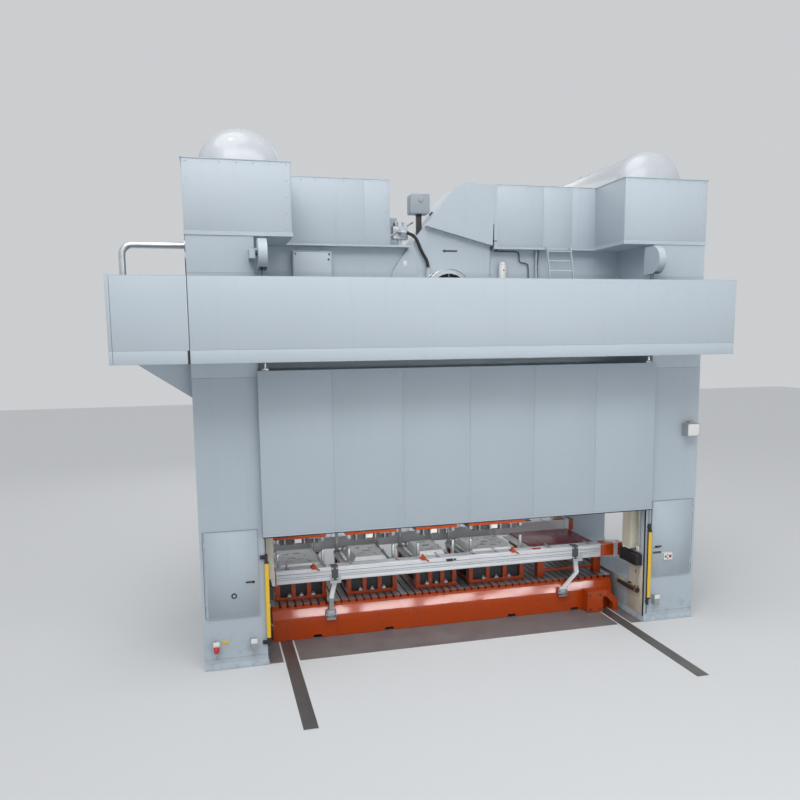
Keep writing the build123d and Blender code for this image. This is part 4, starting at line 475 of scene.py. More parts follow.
# %% Give each solid its finish
finish_of = {
    "air_tanks": tank_paint, "bed": bed_paint, "bolster": orange_paint, "bolster_plate": bolster_steel,
    "front_door": door_paint, "front_walkway": parapet_paint,
    "left_column": column_paint_with_painted_shade, "right_column": column_paint_with_painted_shade,
    "left_access_door": column_paint_with_painted_shade, "right_access_door": column_paint_with_painted_shade,
    "light_curtains": yellow_paint, "drive_belt": black_rubber, "air_hose": black_rubber,
    "air_pipe": galvanised, "slide_gibs": cream_paint, "crown_bushes": bronze,
    "front_transfer_rail": rail_metal, "rear_transfer_rail": rail_metal,
    "front_rail_saddles": steel, "rear_rail_saddles": steel,
    "front_rail_carriages": orange_paint, "rear_rail_carriages": orange_paint,
    "rail_drive_boxes": dark_paint, "hoist_drums": blackened, "door_ropes": blackened,
    "left_crankshaft": casting, "right_crankshaft": casting, "left_idler": casting, "right_idler": casting,
    "drive_shaft": steel, "flywheel": machine_green, "motor_pulley": machine_green,
    "left_lever": casting, "right_lever": casting, "left_rod": casting, "right_rod": casting,
    "left_rocker": casting, "right_rocker": casting, "plungers": steel, "tie_rods": blackened,
    "lower_dies": die_steel, "upper_dies": upper_steel, "part_stand": orange_paint,
    "front_bolster_wheels": blackened, "rear_bolster_wheels": blackened, "runway_rails": worn_rail,
    "red_button": red_plastic, "column_fittings": grey_plastic, "crown_ladder": cabinet_paint,
    "left_door_handle": dark_paint, "right_door_handle": dark_paint,
}
for name, solid in nodes.items():
    solid.data.materials.clear()
    solid.data.materials.append(finish_of.get(name, body_paint))
print("solids in body paint", sorted(set(nodes) - set(finish_of)))

# %% [markdown]
# ### Several colours on one solid
# Some solids carry more than one finish, such as the bolster with its grey rail rests, or the light curtain
# with its black end caps. The steel plate of the bolster is also black inside its T-slots, which is painted
# shade. The colour could be cut into the mesh, but the solids come from the model and keep their mesh. So a
# node group tells whether a point lies inside a box, and the material changes colour there.

# %% A mask for the inside of a box
box_group, enter, leave = start_group(
    "inside a box", [("Vector", VECTOR, (0, 0, 0)), ("Low", VECTOR, (0, 0, 0)), ("High", VECTOR, (1, 1, 1))],
    [("Mask", FLOAT)])
over_low = node(box_group, "ShaderNodeVectorMath", {"operation": "SUBTRACT"}, at0=enter.outputs["Vector"],
                at1=enter.outputs["Low"]).outputs[0]
under_high = node(box_group, "ShaderNodeVectorMath", {"operation": "SUBTRACT"}, at0=enter.outputs["High"],
                  at1=enter.outputs["Vector"]).outputs[0]
least = node(box_group, "ShaderNodeVectorMath", {"operation": "MINIMUM"}, at0=over_low,
             at1=under_high).outputs[0]
sides = node(box_group, "ShaderNodeSeparateXYZ", Vector=least)
least = sums(box_group, "MINIMUM", sums(box_group, "MINIMUM", sides.outputs[0], sides.outputs[1]),
             sides.outputs[2])
box_group.links.new(sums(box_group, "GREATER_THAN", least, 0.0), leave.inputs["Mask"])


def zoned(material, zones):
    """Change the base colour inside boxes: each zone is two corners, heights from the floor, and a colour."""
    tree = material.node_tree
    target = tree.nodes["Principled BSDF"].inputs["Base Color"]
    where = node(tree, "ShaderNodeTexCoord").outputs["Object"]
    tone = in_group(tree, mottle_group, Vector=where, Scale=4.0, Amount=0.15).outputs["Tone"]
    for low, high, colour in zones:
        before = target.links[0].from_socket
        mask = in_group(tree, box_group, Vector=where, Low=(low[0], low[1], low[2] + shop_floor),
                        High=(high[0], high[1], high[2] + shop_floor)).outputs["Mask"]
        shade = scaled(tree, colour, tone)
        tree.links.new(mixed(tree, mask, before, shade), target)
    return material


rest_grey, rest_white = (0.30, 0.31, 0.33), (0.78, 0.79, 0.80)
black_caps_and_slot_shade, edge_orange = (0.02, 0.02, 0.022), (0.38, 0.045, 0.003)
zoned(orange_paint, [((-2.9, -1.30, 0.36), (2.862, -1.1335, 1.20), rest_grey),
                     ((-2.9, 1.1335, 0.36), (2.862, 1.30, 1.20), rest_grey),
                     ((-2.62, -1.30, 0.80), (-2.30, -1.1335, 1.20), rest_white),
                     ((2.4, -1.30, 0.52), (2.862, -1.1335, 1.20), rest_white)])
zoned(yellow_paint, [((-4, -2.3, 0.3), (4, -2.0, 0.50), black_caps_and_slot_shade),
                     ((-4, -2.3, 1.932), (4, -2.0, 2.2), black_caps_and_slot_shade)])
# The first zone paints the insides of the bolster plate's T-slots black: painted shade. The black on the
# light curtains above is their real end caps.
zoned(bolster_steel, [((-3.7, -1.0735, 0.60), (3.7, 1.0735, 0.7035), black_caps_and_slot_shade),
                      ((-3.7, -1.10, 0.60), (3.7, -1.0735, 0.704), edge_orange),
                      ((-3.7, 1.0735, 0.60), (3.7, 1.10, 0.704), edge_orange)])
print("zones on", orange_paint.name, yellow_paint.name, bolster_steel.name)

# %% [markdown]
# ## Screws and other things that repeat
# A machine of sheet and plate shows hundreds of screw heads. Each row follows a rule, so Geometry Nodes make
# them: the piece is a handful of bare points, and the tree puts one head on each point, turned to face out
# of its sheet. The head is a small cylinder on a washer, with few sides because there are so many.

# %% A Geometry Nodes tree for rows of heads


def start_tree(name, inputs):
    tree = bpy.data.node_groups.new(name, "GeometryNodeTree")
    tree.interface.new_socket("Geometry", in_out="INPUT", socket_type="NodeSocketGeometry")
    for label, kind, value in inputs:
        socket = tree.interface.new_socket(label, in_out="INPUT", socket_type=kind)
        if value is not None:
            socket.default_value = value
    tree.interface.new_socket("Geometry", in_out="OUTPUT", socket_type="NodeSocketGeometry")
    return tree, tree.nodes.new("NodeGroupInput"), tree.nodes.new("NodeGroupOutput")


def planted(tree, enter, leave, instance, rotation):
    """End a tree: one instance on each point, turned, made real and given its finish."""
    placed = node(tree, "GeometryNodeInstanceOnPoints", Points=enter.outputs["Geometry"], Instance=instance,
                  Rotation=rotation)
    real = node(tree, "GeometryNodeRealizeInstances", Geometry=placed.outputs[0])
    coloured = node(tree, "GeometryNodeSetMaterial", Geometry=real.outputs[0],
                    Material=enter.outputs["Finish"])
    tree.links.new(coloured.outputs[0], leave.inputs[0])


INTEGER, FINISH = "NodeSocketInt", "NodeSocketMaterial"
washer_spread, washer_share, head_share = 1.45, 0.5, 0.6
head_tree, enter, leave = start_tree("rows of heads", [
    ("Head radius", FLOAT, 0.012), ("Head height", FLOAT, 0.008), ("Sides", INTEGER, 6),
    ("Facing", VECTOR, (0, -1, 0)), ("Finish", FINISH, None)])
head = node(head_tree, "GeometryNodeMeshCylinder", Vertices=enter.outputs["Sides"],
            Radius=enter.outputs["Head radius"], Depth=enter.outputs["Head height"])
washer_radius = sums(head_tree, "MULTIPLY", enter.outputs["Head radius"], washer_spread)
washer_height = sums(head_tree, "MULTIPLY", enter.outputs["Head height"], washer_share)
washer = node(head_tree, "GeometryNodeMeshCylinder", Vertices=12, Radius=washer_radius, Depth=washer_height)
head_lift = sums(head_tree, "MULTIPLY", enter.outputs["Head height"], head_share)
upwards = node(head_tree, "ShaderNodeCombineXYZ", Z=head_lift)
raised = node(head_tree, "GeometryNodeTransform", Geometry=head.outputs["Mesh"],
              Translation=upwards.outputs[0])
both = node(head_tree, "GeometryNodeJoinGeometry")
for source in (raised.outputs[0], washer.outputs["Mesh"]):
    head_tree.links.new(source, both.inputs[0])
turn = node(head_tree, "FunctionNodeAlignRotationToVector", {"axis": "Z"}, Vector=enter.outputs["Facing"])
planted(head_tree, enter, leave, both.outputs[0], turn.outputs[0])


def grown(name, body, material, tree, points, **inputs):
    """Run a tree on bare points, heights from the floor, and keep the result as a plain mesh."""
    data = bpy.data.meshes.new(name)
    data.from_pydata([(x, y, z + shop_floor) for x, y, z in points], [], [])
    made = bpy.data.objects.new(name, data)
    bpy.context.collection.objects.link(made)
    modifier = made.modifiers.new("grow", "NODES")
    modifier.node_group = tree
    names = {item.name: item.identifier for item in tree.interface.items_tree if item.in_out == "INPUT"}
    for label, value in dict(inputs, Finish=material).items():
        modifier[names[label.replace("_", " ")]] = value
    made.update_tag()
    seen = bpy.context.evaluated_depsgraph_get()
    made.data = bpy.data.meshes.new_from_object(made.evaluated_get(seen))
    made.modifiers.remove(modifier)
    return finished(made, body, material)


def heads(name, body, points, facing=(0, -1, 0), radius=0.012, height=0.008, sides=6, material=None):
    return grown(name, body, material or galvanised, head_tree, points, Head_radius=radius,
                 Head_height=height, Sides=sides, Facing=facing)


def row(start, end, count):
    start, end = Vector(start), Vector(end)
    return [tuple(start.lerp(end, step / (count - 1))) for step in range(count)]


def frame_row(x0, x1, y, z0, z1, across, up):
    """Points round a rectangle that faces the front, with the given number along each side."""
    return (row((x0, y, z0), (x1, y, z0), across) + row((x0, y, z1), (x1, y, z1), across)
            + row((x0, y, z0), (x0, y, z1), up)[1:-1] + row((x1, y, z0), (x1, y, z1), up)[1:-1])


print("head tree nodes", len(head_tree.nodes))

# %% [markdown]
# ## Air tanks
# Two long air tanks lie on the crown, each a rolled shell between two dished heads. The weld leaves a low
# bead where they meet. A tank is a body of revolution, so one lathe profile makes shell, heads and beads in
# one smooth surface, which the model's flat-faced solid can't show in a gloss paint.

# %% Tanks turned from one profile
tank_x, tank_height, tank_radius, shell_half, head_depth = 3.995, 8.766, 0.720, 1.568, 0.360
head_steps, tank_sides = 14, 96
bead_half, bead_height, bead_foot = 0.010, 0.003, 0.030
saddle_y, nozzle_y, lug_y = 0.9, 1.15, 1.45


def tank_profile():
    head_rings = []
    for step in range(head_steps):
        angle = math.pi / 2 * step / head_steps
        head_rings.append((-shell_half - head_depth * math.cos(angle), tank_radius * math.sin(angle)))
    head_rings.append((-shell_half - bead_foot, tank_radius))
    beads = []
    for middle in (-shell_half, 0.0, shell_half):
        beads += [(middle - bead_half, tank_radius), (middle, tank_radius + bead_height),
                  (middle + bead_half, tank_radius), (middle + bead_foot, tank_radius)]
        if middle < shell_half:
            beads += [(middle + shell_half - bead_foot, tank_radius)]
    far = [(-along, radius) for along, radius in reversed(head_rings[:-1])]
    return head_rings + beads + far


for side, word in both_sides:
    tank = Shape().turned((side * tank_x, 0, tank_height), (0, 1, 0), tank_profile(), sides=tank_sides)
    for y in (-saddle_y, saddle_y):
        tank.box(side * tank_x - 0.5, side * tank_x + 0.5, y - 0.04, y + 0.04, 7.68, 8.35, soft=0.006)
    tank.turned((side * tank_x, nozzle_y, tank_height + 0.69), (0, 0, 1),
                [(0, 0.055), (0.05, 0.055), (0.051, 0.085), (0.075, 0.085), (0.076, 0.045), (0.095, 0.04)],
                24)
    tank.box(side * tank_x - 0.012, side * tank_x + 0.012, lug_y - 0.06, lug_y + 0.06, tank_height + 0.70,
             tank_height + 0.80, soft=0.004)
    made = tank.piece(word + "_tank", "press_frame", tank_paint)
    if side < 0:
        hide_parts("air_tanks")
print("tank profile rings", len(tank_profile()))

# %% [markdown]
# ## Sheets of the parapet
# The broad band across the front is thin sheet on a frame: one upper sheet, a lower band under a fold, and
# a turned-in lip along the top. The fold and the join of the side piece are what the eye reads as sheet
# metal, so the sheets are separate plates with real gaps, three millimetres proud of the solid.

# %% Parapet sheets, fold and lip
parapet_front, parapet_top, parapet_bottom, parapet_fold = -3.120, 6.860, 5.495, 5.705
parapet_left, main_left, main_right = -6.150, -4.945, 4.945
skin, fold_gap = 0.003, 0.003
sheets = Shape()
for x0, x1, z0, z1 in ((main_left, main_right, parapet_fold + fold_gap, parapet_top),
                       (main_left, main_right, parapet_bottom, parapet_fold - fold_gap),
                       (parapet_left, -4.955, parapet_fold + fold_gap, parapet_top),
                       (parapet_left, -4.985, parapet_bottom, parapet_fold - fold_gap)):
    sheets.box(x0, x1, parapet_front - skin, parapet_front, z0, z1, soft=0.001)
sheets.box(parapet_left - skin, parapet_left, -3.118, -1.402, parapet_bottom, parapet_top, soft=0.001)
sheets.box(parapet_left - skin, main_right, parapet_front - 0.004, parapet_front + 0.055, parapet_top,
           parapet_top + 0.004, soft=0.001)
sheets.piece("parapet_sheets", "press_frame", parapet_paint)
gaps = Shape()
gaps.box(-4.985, main_left, parapet_front - 0.001, parapet_front + 0.004, parapet_bottom, parapet_fold)
gaps.box(-6.100, -6.094, parapet_front - 0.0035, parapet_front, parapet_bottom + 0.01, parapet_top - 0.01)
gaps.piece("parapet_join", "press_frame", dark_paint)
heads("parapet_screws", "press_frame", row((-4.6, -3.123, 5.52), (4.6, -3.123, 5.52), 17), radius=0.009,
      height=0.004, sides=10, material=parapet_paint)
print("parapet sheets done")

# %% [markdown]
# ## Chequer plate on the walkway
# Behind the parapet is a floor of chequer plate. Its raised bars stand in rows and turn by a right angle
# from one to the next, which is a rule that Geometry Nodes follow easily: a grid of points, one bar on each,
# and the turn worked out from the point's own place.

# %% A tree for raised bars
bar_tree, enter, leave = start_tree("raised bars", [
    ("Bar length", FLOAT, 0.045), ("Bar width", FLOAT, 0.011), ("Pitch", FLOAT, 0.075),
    ("Finish", FINISH, None)])
bar_height = 0.004
size = node(bar_tree, "ShaderNodeCombineXYZ", X=enter.outputs["Bar length"], Y=enter.outputs["Bar width"],
            Z=bar_height)
bar = node(bar_tree, "GeometryNodeMeshCylinder", Vertices=8, Radius=0.5, Depth=1.0)
shaped = node(bar_tree, "GeometryNodeTransform", Geometry=bar.outputs["Mesh"], Scale=size.outputs[0])
spot = node(bar_tree, "ShaderNodeSeparateXYZ", Vector=node(bar_tree, "GeometryNodeInputPosition").outputs[0])
steps_x = sums(bar_tree, "ROUND", sums(bar_tree, "DIVIDE", spot.outputs[0], enter.outputs["Pitch"]))
steps_y = sums(bar_tree, "ROUND", sums(bar_tree, "DIVIDE", spot.outputs[1], enter.outputs["Pitch"]))
odd = sums(bar_tree, "FLOORED_MODULO", sums(bar_tree, "ADD", steps_x, steps_y), 2.0)
angle = node(bar_tree, "ShaderNodeMath", {"operation": "MULTIPLY_ADD"}, at0=odd, at1=math.pi / 2,
             at2=math.pi / 4)
spin = node(bar_tree, "ShaderNodeCombineXYZ", Z=angle.outputs[0])
turned = node(bar_tree, "FunctionNodeEulerToRotation", Euler=spin.outputs[0])
planted(bar_tree, enter, leave, shaped.outputs[0], turned.outputs[0])
bar_pitch, walkway_top = 0.1, 5.641
spots = [(bar_pitch * i, bar_pitch * j, walkway_top) for i in range(-48, 49) for j in range(-30, -23)]
grown("walkway_chequer", "press_frame", galvanised, bar_tree, spots, Bar_length=0.06, Bar_width=0.014,
      Pitch=bar_pitch)
print("chequer bars", len(spots))

# %% [markdown]
# ## Lifting door
# The front door is a frame covered with sheets side by side. Their joints are only fine dark lines, but they
# give the large plain face its scale. A black rubber strip closes its lower edge.

# %% Door sheets and rubber
door_front, door_low, door_high, door_half = -2.270, 2.400, 5.330, 3.863
sheet_count, joint = 6, 0.0025
pitch = 2 * door_half / sheet_count
door = Shape()
for number in range(sheet_count):
    left = -door_half + number * pitch
    door.box(left + joint / 2, left + pitch - joint / 2, door_front - skin, door_front, door_low + 0.03,
             door_high, soft=0.0008)
door.box(-door_half, door_half, door_front - 0.006, door_front, door_low, door_low + 0.026, soft=0.002)
door.piece("door_sheets", "front_door", door_paint)
lip = Shape()
lip.box(-door_half, door_half, -2.262, -2.20, door_low - 0.022, door_low, soft=0.006)
lip.piece("door_rubber", "front_door", black_rubber)
rope_x, rope_y, rope_low, rope_high = 3.72, -2.215, 5.33, 7.29
lugs = Shape()
for side in (-1, 1):
    lugs.box(side * rope_x - 0.06, side * rope_x + 0.06, -2.245, -2.185, rope_low, 5.37, soft=0.006)
    lugs.rod((side * rope_x, rope_y, rope_low), (side * rope_x, rope_y, 5.45), 0.022, 16)
lugs.piece("door_rope_sockets", "front_door", galvanised)
screw_columns = [-door_half + pitch * (n + part) for n in range(sheet_count) for part in (0.08, 0.5, 0.92)]
heads("door_screws", "front_door", [(x, door_front - skin, z) for z in (2.46, 5.29) for x in screw_columns],
      radius=0.007, height=0.003, sides=10, material=door_paint)
print("door sheet width", round(pitch, 3))

# %% Wire ropes of the door
strands, strand_steps, strand_radius, lay_radius, lay_turn = 6, 60, 0.0034, 0.0055, 0.7
ropes = Shape()
for side in (-1, 1):
    for strand in range(strands):
        turns = []
        for step in range(strand_steps + 1):
            angle = lay_turn * step + strand * 2 * math.pi / strands
            turns.append((side * rope_x + lay_radius * math.cos(angle), rope_y + lay_radius * math.sin(angle),
                          rope_low + (rope_high - rope_low) * step / strand_steps))
        ropes.tube(turns, strand_radius, 6)
rope_piece = ropes.piece("wire_ropes", "press_frame", blackened)
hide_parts("door_ropes")
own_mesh(rope_piece)
print("rope length", round(rope_high - rope_low, 2))

# %% [markdown]
# ## Columns and their service doors
# Each column is a welded box with a tall service door in its front. The parts that tell its size are small:
# the dark rubber seal round the door, the hinges, a lever handle with its rose, a round lock, sockets for
# hand tools and the two-part guide of the lifting door.

# %% Seals, seams and locks on the columns
column_face, service_face, seam = -2.120, -2.150, 0.0007
lock_x, lock_z = -4.401, 1.344
hinge_x, hinge_y, knuckle_half = 4.892, -2.1403, 0.016
for side, word in both_sides:
    low, high = sorted((side * 3.955, side * 4.904))
    seal = Shape()
    for x0, x1, z0, z1 in ((low - 0.006, low, 0.948, 2.526), (high, high + 0.004, 0.948, 2.526),
                           (low - 0.006, high + 0.004, 2.520, 2.524),
                           (low - 0.006, high + 0.004, 0.948, 0.955)):
        seal.box(x0, x1, column_face - 0.0025, column_face, z0, z1)
    for z in (5.220, 0.190):
        seal.box(side * 3.836, side * 4.955, column_face - seam, column_face, z - 0.0015, z + 0.0015)
    seal.piece(word + "_door_seal", "press_frame", black_rubber)
    door = Shape()
    near, far = (low + 0.012, high - 0.045) if side > 0 else (low + 0.045, high - 0.012)
    door.box(near, far, -2.1535, -2.152, 0.967, 2.508, soft=0.0006)
    door.piece(word + "_service_sheet", word + "_access_door", column_paint_with_painted_shade)
    if side < 0:
        lock = Shape().turned((lock_x, service_face, lock_z), (0, -1, 0),
                              [(0, 0.050), (0.010, 0.050), (0.014, 0.044), (0.014, 0.030), (0.009, 0.028)],
                              32)
        lock.piece("round_lock", "left_access_door", dark_paint)
        core = Shape().knob((lock_x, service_face, lock_z), (0, -1, 0), 0.026, 0.016, 0.018, 0.020, 24)
        core.box(lock_x - 0.003, lock_x + 0.003, -2.170, -2.166, lock_z - 0.014, lock_z + 0.014)
        core.piece("lock_core", "left_access_door", steel)
    rose = Shape().turned((side * 4.055, service_face, 1.580), (0, -1, 0),
                          [(0, 0.034), (0.006, 0.034), (0.009, 0.030), (0.009, 0.014)], 28)
    rose.piece(word + "_handle_rose", word + "_access_door", steel)
    hinges = Shape()
    for z in (1.233, 2.298):
        for step in (-0.034, 0.0, 0.034):
            hinges.turned((side * hinge_x, hinge_y, z + step - knuckle_half), (0, 0, 1),
                          [(0, 0.012), (0.001, 0.0135), (0.031, 0.0135), (0.032, 0.012)], 20)
    hinges.piece(word + "_hinge_knuckles", "press_frame", column_paint_with_painted_shade)
    heads(word + "_toe_screws", "press_frame",
          row((side * 3.93, -2.151, 0.05), (side * 4.85, -2.151, 0.05), 6), radius=0.010, height=0.006)
print("column seals done")

# %% Buttons and plates on the right column
box_front = -2.222
button_place = (4.350, box_front, 1.3725)


def open_frame(shape, outside, window, y0, y1):
    """Four bars that leave a window free, each outline as x0, x1, z0, z1."""
    x0, x1, z0, z1 = outside
    in0, in1, low, high = window
    for bar in ((x0, in0, z0, z1), (in1, x1, z0, z1), (in0, in1, z0, low), (in0, in1, high, z1)):
        shape.box(bar[0], bar[1], y0, y1, bar[2], bar[3])


cover = Shape()
open_frame(cover, (4.206, 4.401, 1.303, 1.442), (4.325, 4.375, 1.347, 1.398), -2.223, -2.218)
open_frame(cover, (4.203, 4.404, 1.300, 1.445), (4.215, 4.392, 1.312, 1.433), -2.190, -2.155)
cover.piece("button_box_cover", "right_access_door", white_plastic)
collar = Shape().turned(button_place, (0, -1, 0),
                        [(0, 0.031), (0.005, 0.031), (0.006, 0.028), (0.006, 0.0235), (0, 0.0235)], 28,
                        hollow=True)
collar.box(4.228, 4.268, -2.229, box_front, 1.352, 1.392, soft=0.003)
collar.piece("button_collars", "right_access_door", charcoal_paint)
small = Shape()
for z in (1.412, 1.333):
    small.knob((4.292, box_front, z), (0, -1, 0), 0.012, 0.008, 0.010, 0.009)
small.piece("small_buttons", "right_access_door", dark_paint)
plate = Shape().box(3.991, 4.180, -2.156, -2.152, 1.430, 1.476, soft=0.002)
plate.box(3.991, 4.140, -2.156, -2.152, 1.545, 1.560, soft=0.002)
plate.piece("dark_strip_plates", "right_access_door", charcoal_paint)
print("button box done")

# %% Sockets, bare plate and beacon
sockets = Shape()
for x, top in ((-4.744, 0.541), (-4.083, 0.533), (4.068, 0.572)):
    sockets.box(x - 0.058, x + 0.058, -2.246, -2.232, top - 0.075, top + 0.006, soft=0.006)
    sockets.rod((x - 0.05, -2.238, top + 0.004), (x + 0.05, -2.238, top + 0.004), 0.007, 12)
sockets.piece("socket_flaps", "press_frame", white_plastic)
plug = Shape()
plug.turned((-4.744, -2.236, 0.425), (0, -1, -0.35),
            [(0, 0.043), (0.030, 0.043), (0.034, 0.036), (0.085, 0.034), (0.090, 0.020)], 28)
plug.box(-4.790, -4.698, -2.247, -2.238, 0.372, 0.458, soft=0.006)
plug.piece("red_socket_front", "press_frame", red_plastic)
insets = Shape()
for x, z in ((-4.083, 0.395), (4.068, 0.434)):
    insets.box(x - 0.042, x + 0.042, -2.246, -2.238, z - 0.048, z + 0.048, soft=0.005)
insets.piece("socket_fronts", "press_frame", grey_plastic)
bare = Shape().box(-4.648, -4.528, column_face - 0.0025, column_face, 0.455, 0.520, soft=0.0008)
bare.piece("yellow_plate", "press_frame", yellow_plate)
beacon = Shape().turned((4.7235, -2.22, 4.097), (0, 0, 1),
                        [(0, 0.058), (0.030, 0.060), (0.048, 0.050), (0.058, 0.030), (0.062, 0.002)], 32)
beacon.piece("beacon_cap", "press_frame", red_plastic)
box_lid = Shape().box(4.597, 4.850, -2.326, -2.320, 3.856, 4.088, soft=0.004)
box_lid.piece("beacon_box_lid", "press_frame", white_plastic)
heads("beacon_box_screws", "press_frame", [(x, -2.326, z) for x in (4.612, 4.835) for z in (3.871, 4.073)],
      radius=0.006, height=0.003, sides=12)
print("sockets and beacon done")

# %% [markdown]
# ### Inside the columns
# The inner faces are where the transfer drive lives. They are painted in a warm cream, with strips in
# several greys beside the slide's guides, a black bellows box, and below it a brass cylinder that pushes the
# rail's carriage, with a thin rod standing at its front end.

# %% Strips on the inner faces
for side, word in both_sides:
    wall = side * 3.835
    for label, y0, y1, z0, z1, finish, proud in (
            ("cream_wall", -2.060, -1.530, 0.105, 1.150, cream_paint, 0.003),
            ("pale_strip", -2.060, -1.852, 1.390, 2.390, body_paint, 0.003),
            ("cream_strip", -1.850, -1.822, 1.390, 2.390, cream_paint, 0.012),
            ("dark_strip", -2.118, -2.064, 0.105, 2.390, dark_paint, 0.004)):
        strip = Shape().box(wall, wall - side * proud, y0, y1, z0, z1, soft=0.001)
        strip.piece(word + "_" + label, "press_frame", finish)
    guard = Shape().box(side * 3.664, side * 3.790, -1.832, -1.822, 1.500, 5.180, soft=0.003)
    guard.piece(word + "_guide_guard", "press_frame", cream_paint)
    heads(word + "_guide_screws", "press_frame",
          row((side * 3.73, -1.832, 1.56), (side * 3.73, -1.832, 5.12), 14), radius=0.012, height=0.008)
    conduit = Shape()
    conduit.tube([(side * 3.80, -1.94, z) for z in (1.56, 2.20, 3.6)], 0.014, 12)
    conduit.piece(word + "_conduit", "press_frame", galvanised)
    lid = Shape().box(side * 3.775, side * 3.771, -1.994, -1.886, 1.446, 1.554, soft=0.002)
    lid.piece(word + "_junction_lid", "press_frame", white_plastic)
print("inner strips done")

# %% Bellows box and brass cylinder
folds, first_fold, fold_pitch, fold_half = 30, 1.36, 0.0215, 0.006
bellows = Shape()
for side in (-1, 1):
    for end in (-1, 1):
        for number in range(folds):
            y = end * (first_fold + fold_pitch * number)
            bellows.box(side * 3.700, side * 3.835, y - fold_half, y + fold_half, 1.155, 1.385, soft=0.004)
bellows.piece("bellows_folds", "press_frame", black_rubber)
cylinder_x = 3.775
barrel = Shape()
for side in (-1, 1):
    barrel.turned((side * cylinder_x, -1.965, 0.622), (0, 1, 0),
                  [(0, 0.030), (0.001, 0.062), (0.050, 0.062), (0.051, 0.0575), (0.690, 0.0575),
                   (0.691, 0.062), (0.740, 0.062), (0.741, 0.030)], 32)
barrel.piece("brass_cylinders", "press_frame", brass)
gauge = Shape()
for side in (-1, 1):
    x = side * cylinder_x
    gauge.rod((x, -1.93, 0.66), (x, -1.93, 1.02), 0.011, 12)
    gauge.knob((x - side * 0.005, -1.93, 1.02), (-side, 0, 0), 0.038, 0.020, 0.024, 0.032, 24)
    gauge.rod((x, -1.93, 0.692), (x, -1.93, 0.71), 0.020, 8)
gauge.piece("sight_rods", "press_frame", steel)
print("cylinder done")

# %% [markdown]
# ## Light curtains
# Upright yellow bars hold the light curtain that stops the press when a hand comes near. The sender and
# receiver look at each other through a dark smoked lens. Black end caps close them, each with a thin conduit.

# %% Lenses, caps and conduits
lens = Shape()
lens.box(-3.7805, -3.7775, -2.200, -2.160, 0.53, 1.90, soft=0.001)
lens.box(3.8525, 3.8555, -2.200, -2.160, 0.53, 1.90, soft=0.001)
lens.piece("curtain_lenses", "press_frame", smoked)
curtain_middles = (-3.815, 3.890)
caps = Shape()
for x0, x1 in ((-3.853, -3.777), (3.852, 3.928)):
    for z0, z1 in ((0.495, 0.530), (1.902, 1.937)):
        caps.box(x0, x1, -2.213, -2.147, z0, z1, soft=0.005)
    middle = (x0 + x1) / 2
    caps.turned((middle, -2.18, 1.937), (0, 0, 1),
                [(0, 0.014), (0.020, 0.014), (0.022, 0.009), (0.045, 0.008)], 16)
caps.piece("curtain_caps", "press_frame", dark_paint)
feed = Shape()
upper_run = ((-2.18, 1.98), (-2.17, 2.04), (-2.14, 2.12), (-2.135, 2.30), (-2.135, 2.40))
lower_run = ((-2.175, 0.50), (-2.170, 0.42), (-2.145, 0.36), (-2.130, 0.28), (-2.130, 0.16))
for x in curtain_middles:
    feed.tube([(x, y, z) for y, z in upper_run], 0.006, 8)
    feed.tube([(x, y, z) for y, z in lower_run], 0.007, 8)
feed.piece("curtain_conduits", "press_frame", charcoal_paint)
heads("curtain_screws", "press_frame", [(x, -2.211, z) for x in curtain_middles for z in (0.62, 1.215, 1.81)],
      radius=0.007, height=0.004, sides=12)
print("curtains done")

# %% [markdown]
# ## Dies on the bolster
# The dies are the busiest part of the press, and the eye goes there first. A lower die is a stack: an
# orange plate clamped to the bolster, orange uprights with dark blocks between them, a cast shoe, and a
# machined block whose top holds the form. That top is painted near white and almost without metal: a
# painted sheen for the light that its ground steel reflects. The bare block of the model carries the same
# outline, so it is replaced by this stack. Every station has its own top, because each does another step of
# the work.

# %% Parts that every lower die shares
die_half = 0.82
bolster_top, plate_top, shoe_bottom, shoe_top, form_bottom = 0.705, 0.775, 1.120, 1.205, 1.240
uprights = 4
around = ((-1, -1), (1, -1), (1, 1), (-1, 1))  # the corners of a square, in order
stations = ((-3.050, 1.040), (-1.600, 1.060), (-0.230, 0.900), (1.110, 1.260))  # middle and width


def frustum(shape, x, y, half_x, half_y, z0, z1, lean, soft=0.004):
    """A block whose four sides lean inwards towards its top."""
    verts = []
    for z, shrink in ((z0, 0.0), (z1, lean)):
        for across, along in around:
            spot = (x + across * (half_x - shrink), y + along * (half_y - shrink), z)
            verts.append(shape.mesh.verts.new(spot))
    rings = [(3, 2, 1, 0), (4, 5, 6, 7), (0, 1, 5, 4), (1, 2, 6, 5), (2, 3, 7, 6), (3, 0, 4, 7)]
    faces = [shape.mesh.faces.new([verts[i] for i in ring]) for ring in rings]
    bmesh.ops.recalc_face_normals(shape.mesh, faces=faces)
    shape.soften(verts, soft)


def post_spots(middle, width):
    return [(middle + side * (width / 2 - 0.07), end * (die_half - 0.07))
            for side in (-1, 1) for end in (-1, 1)]


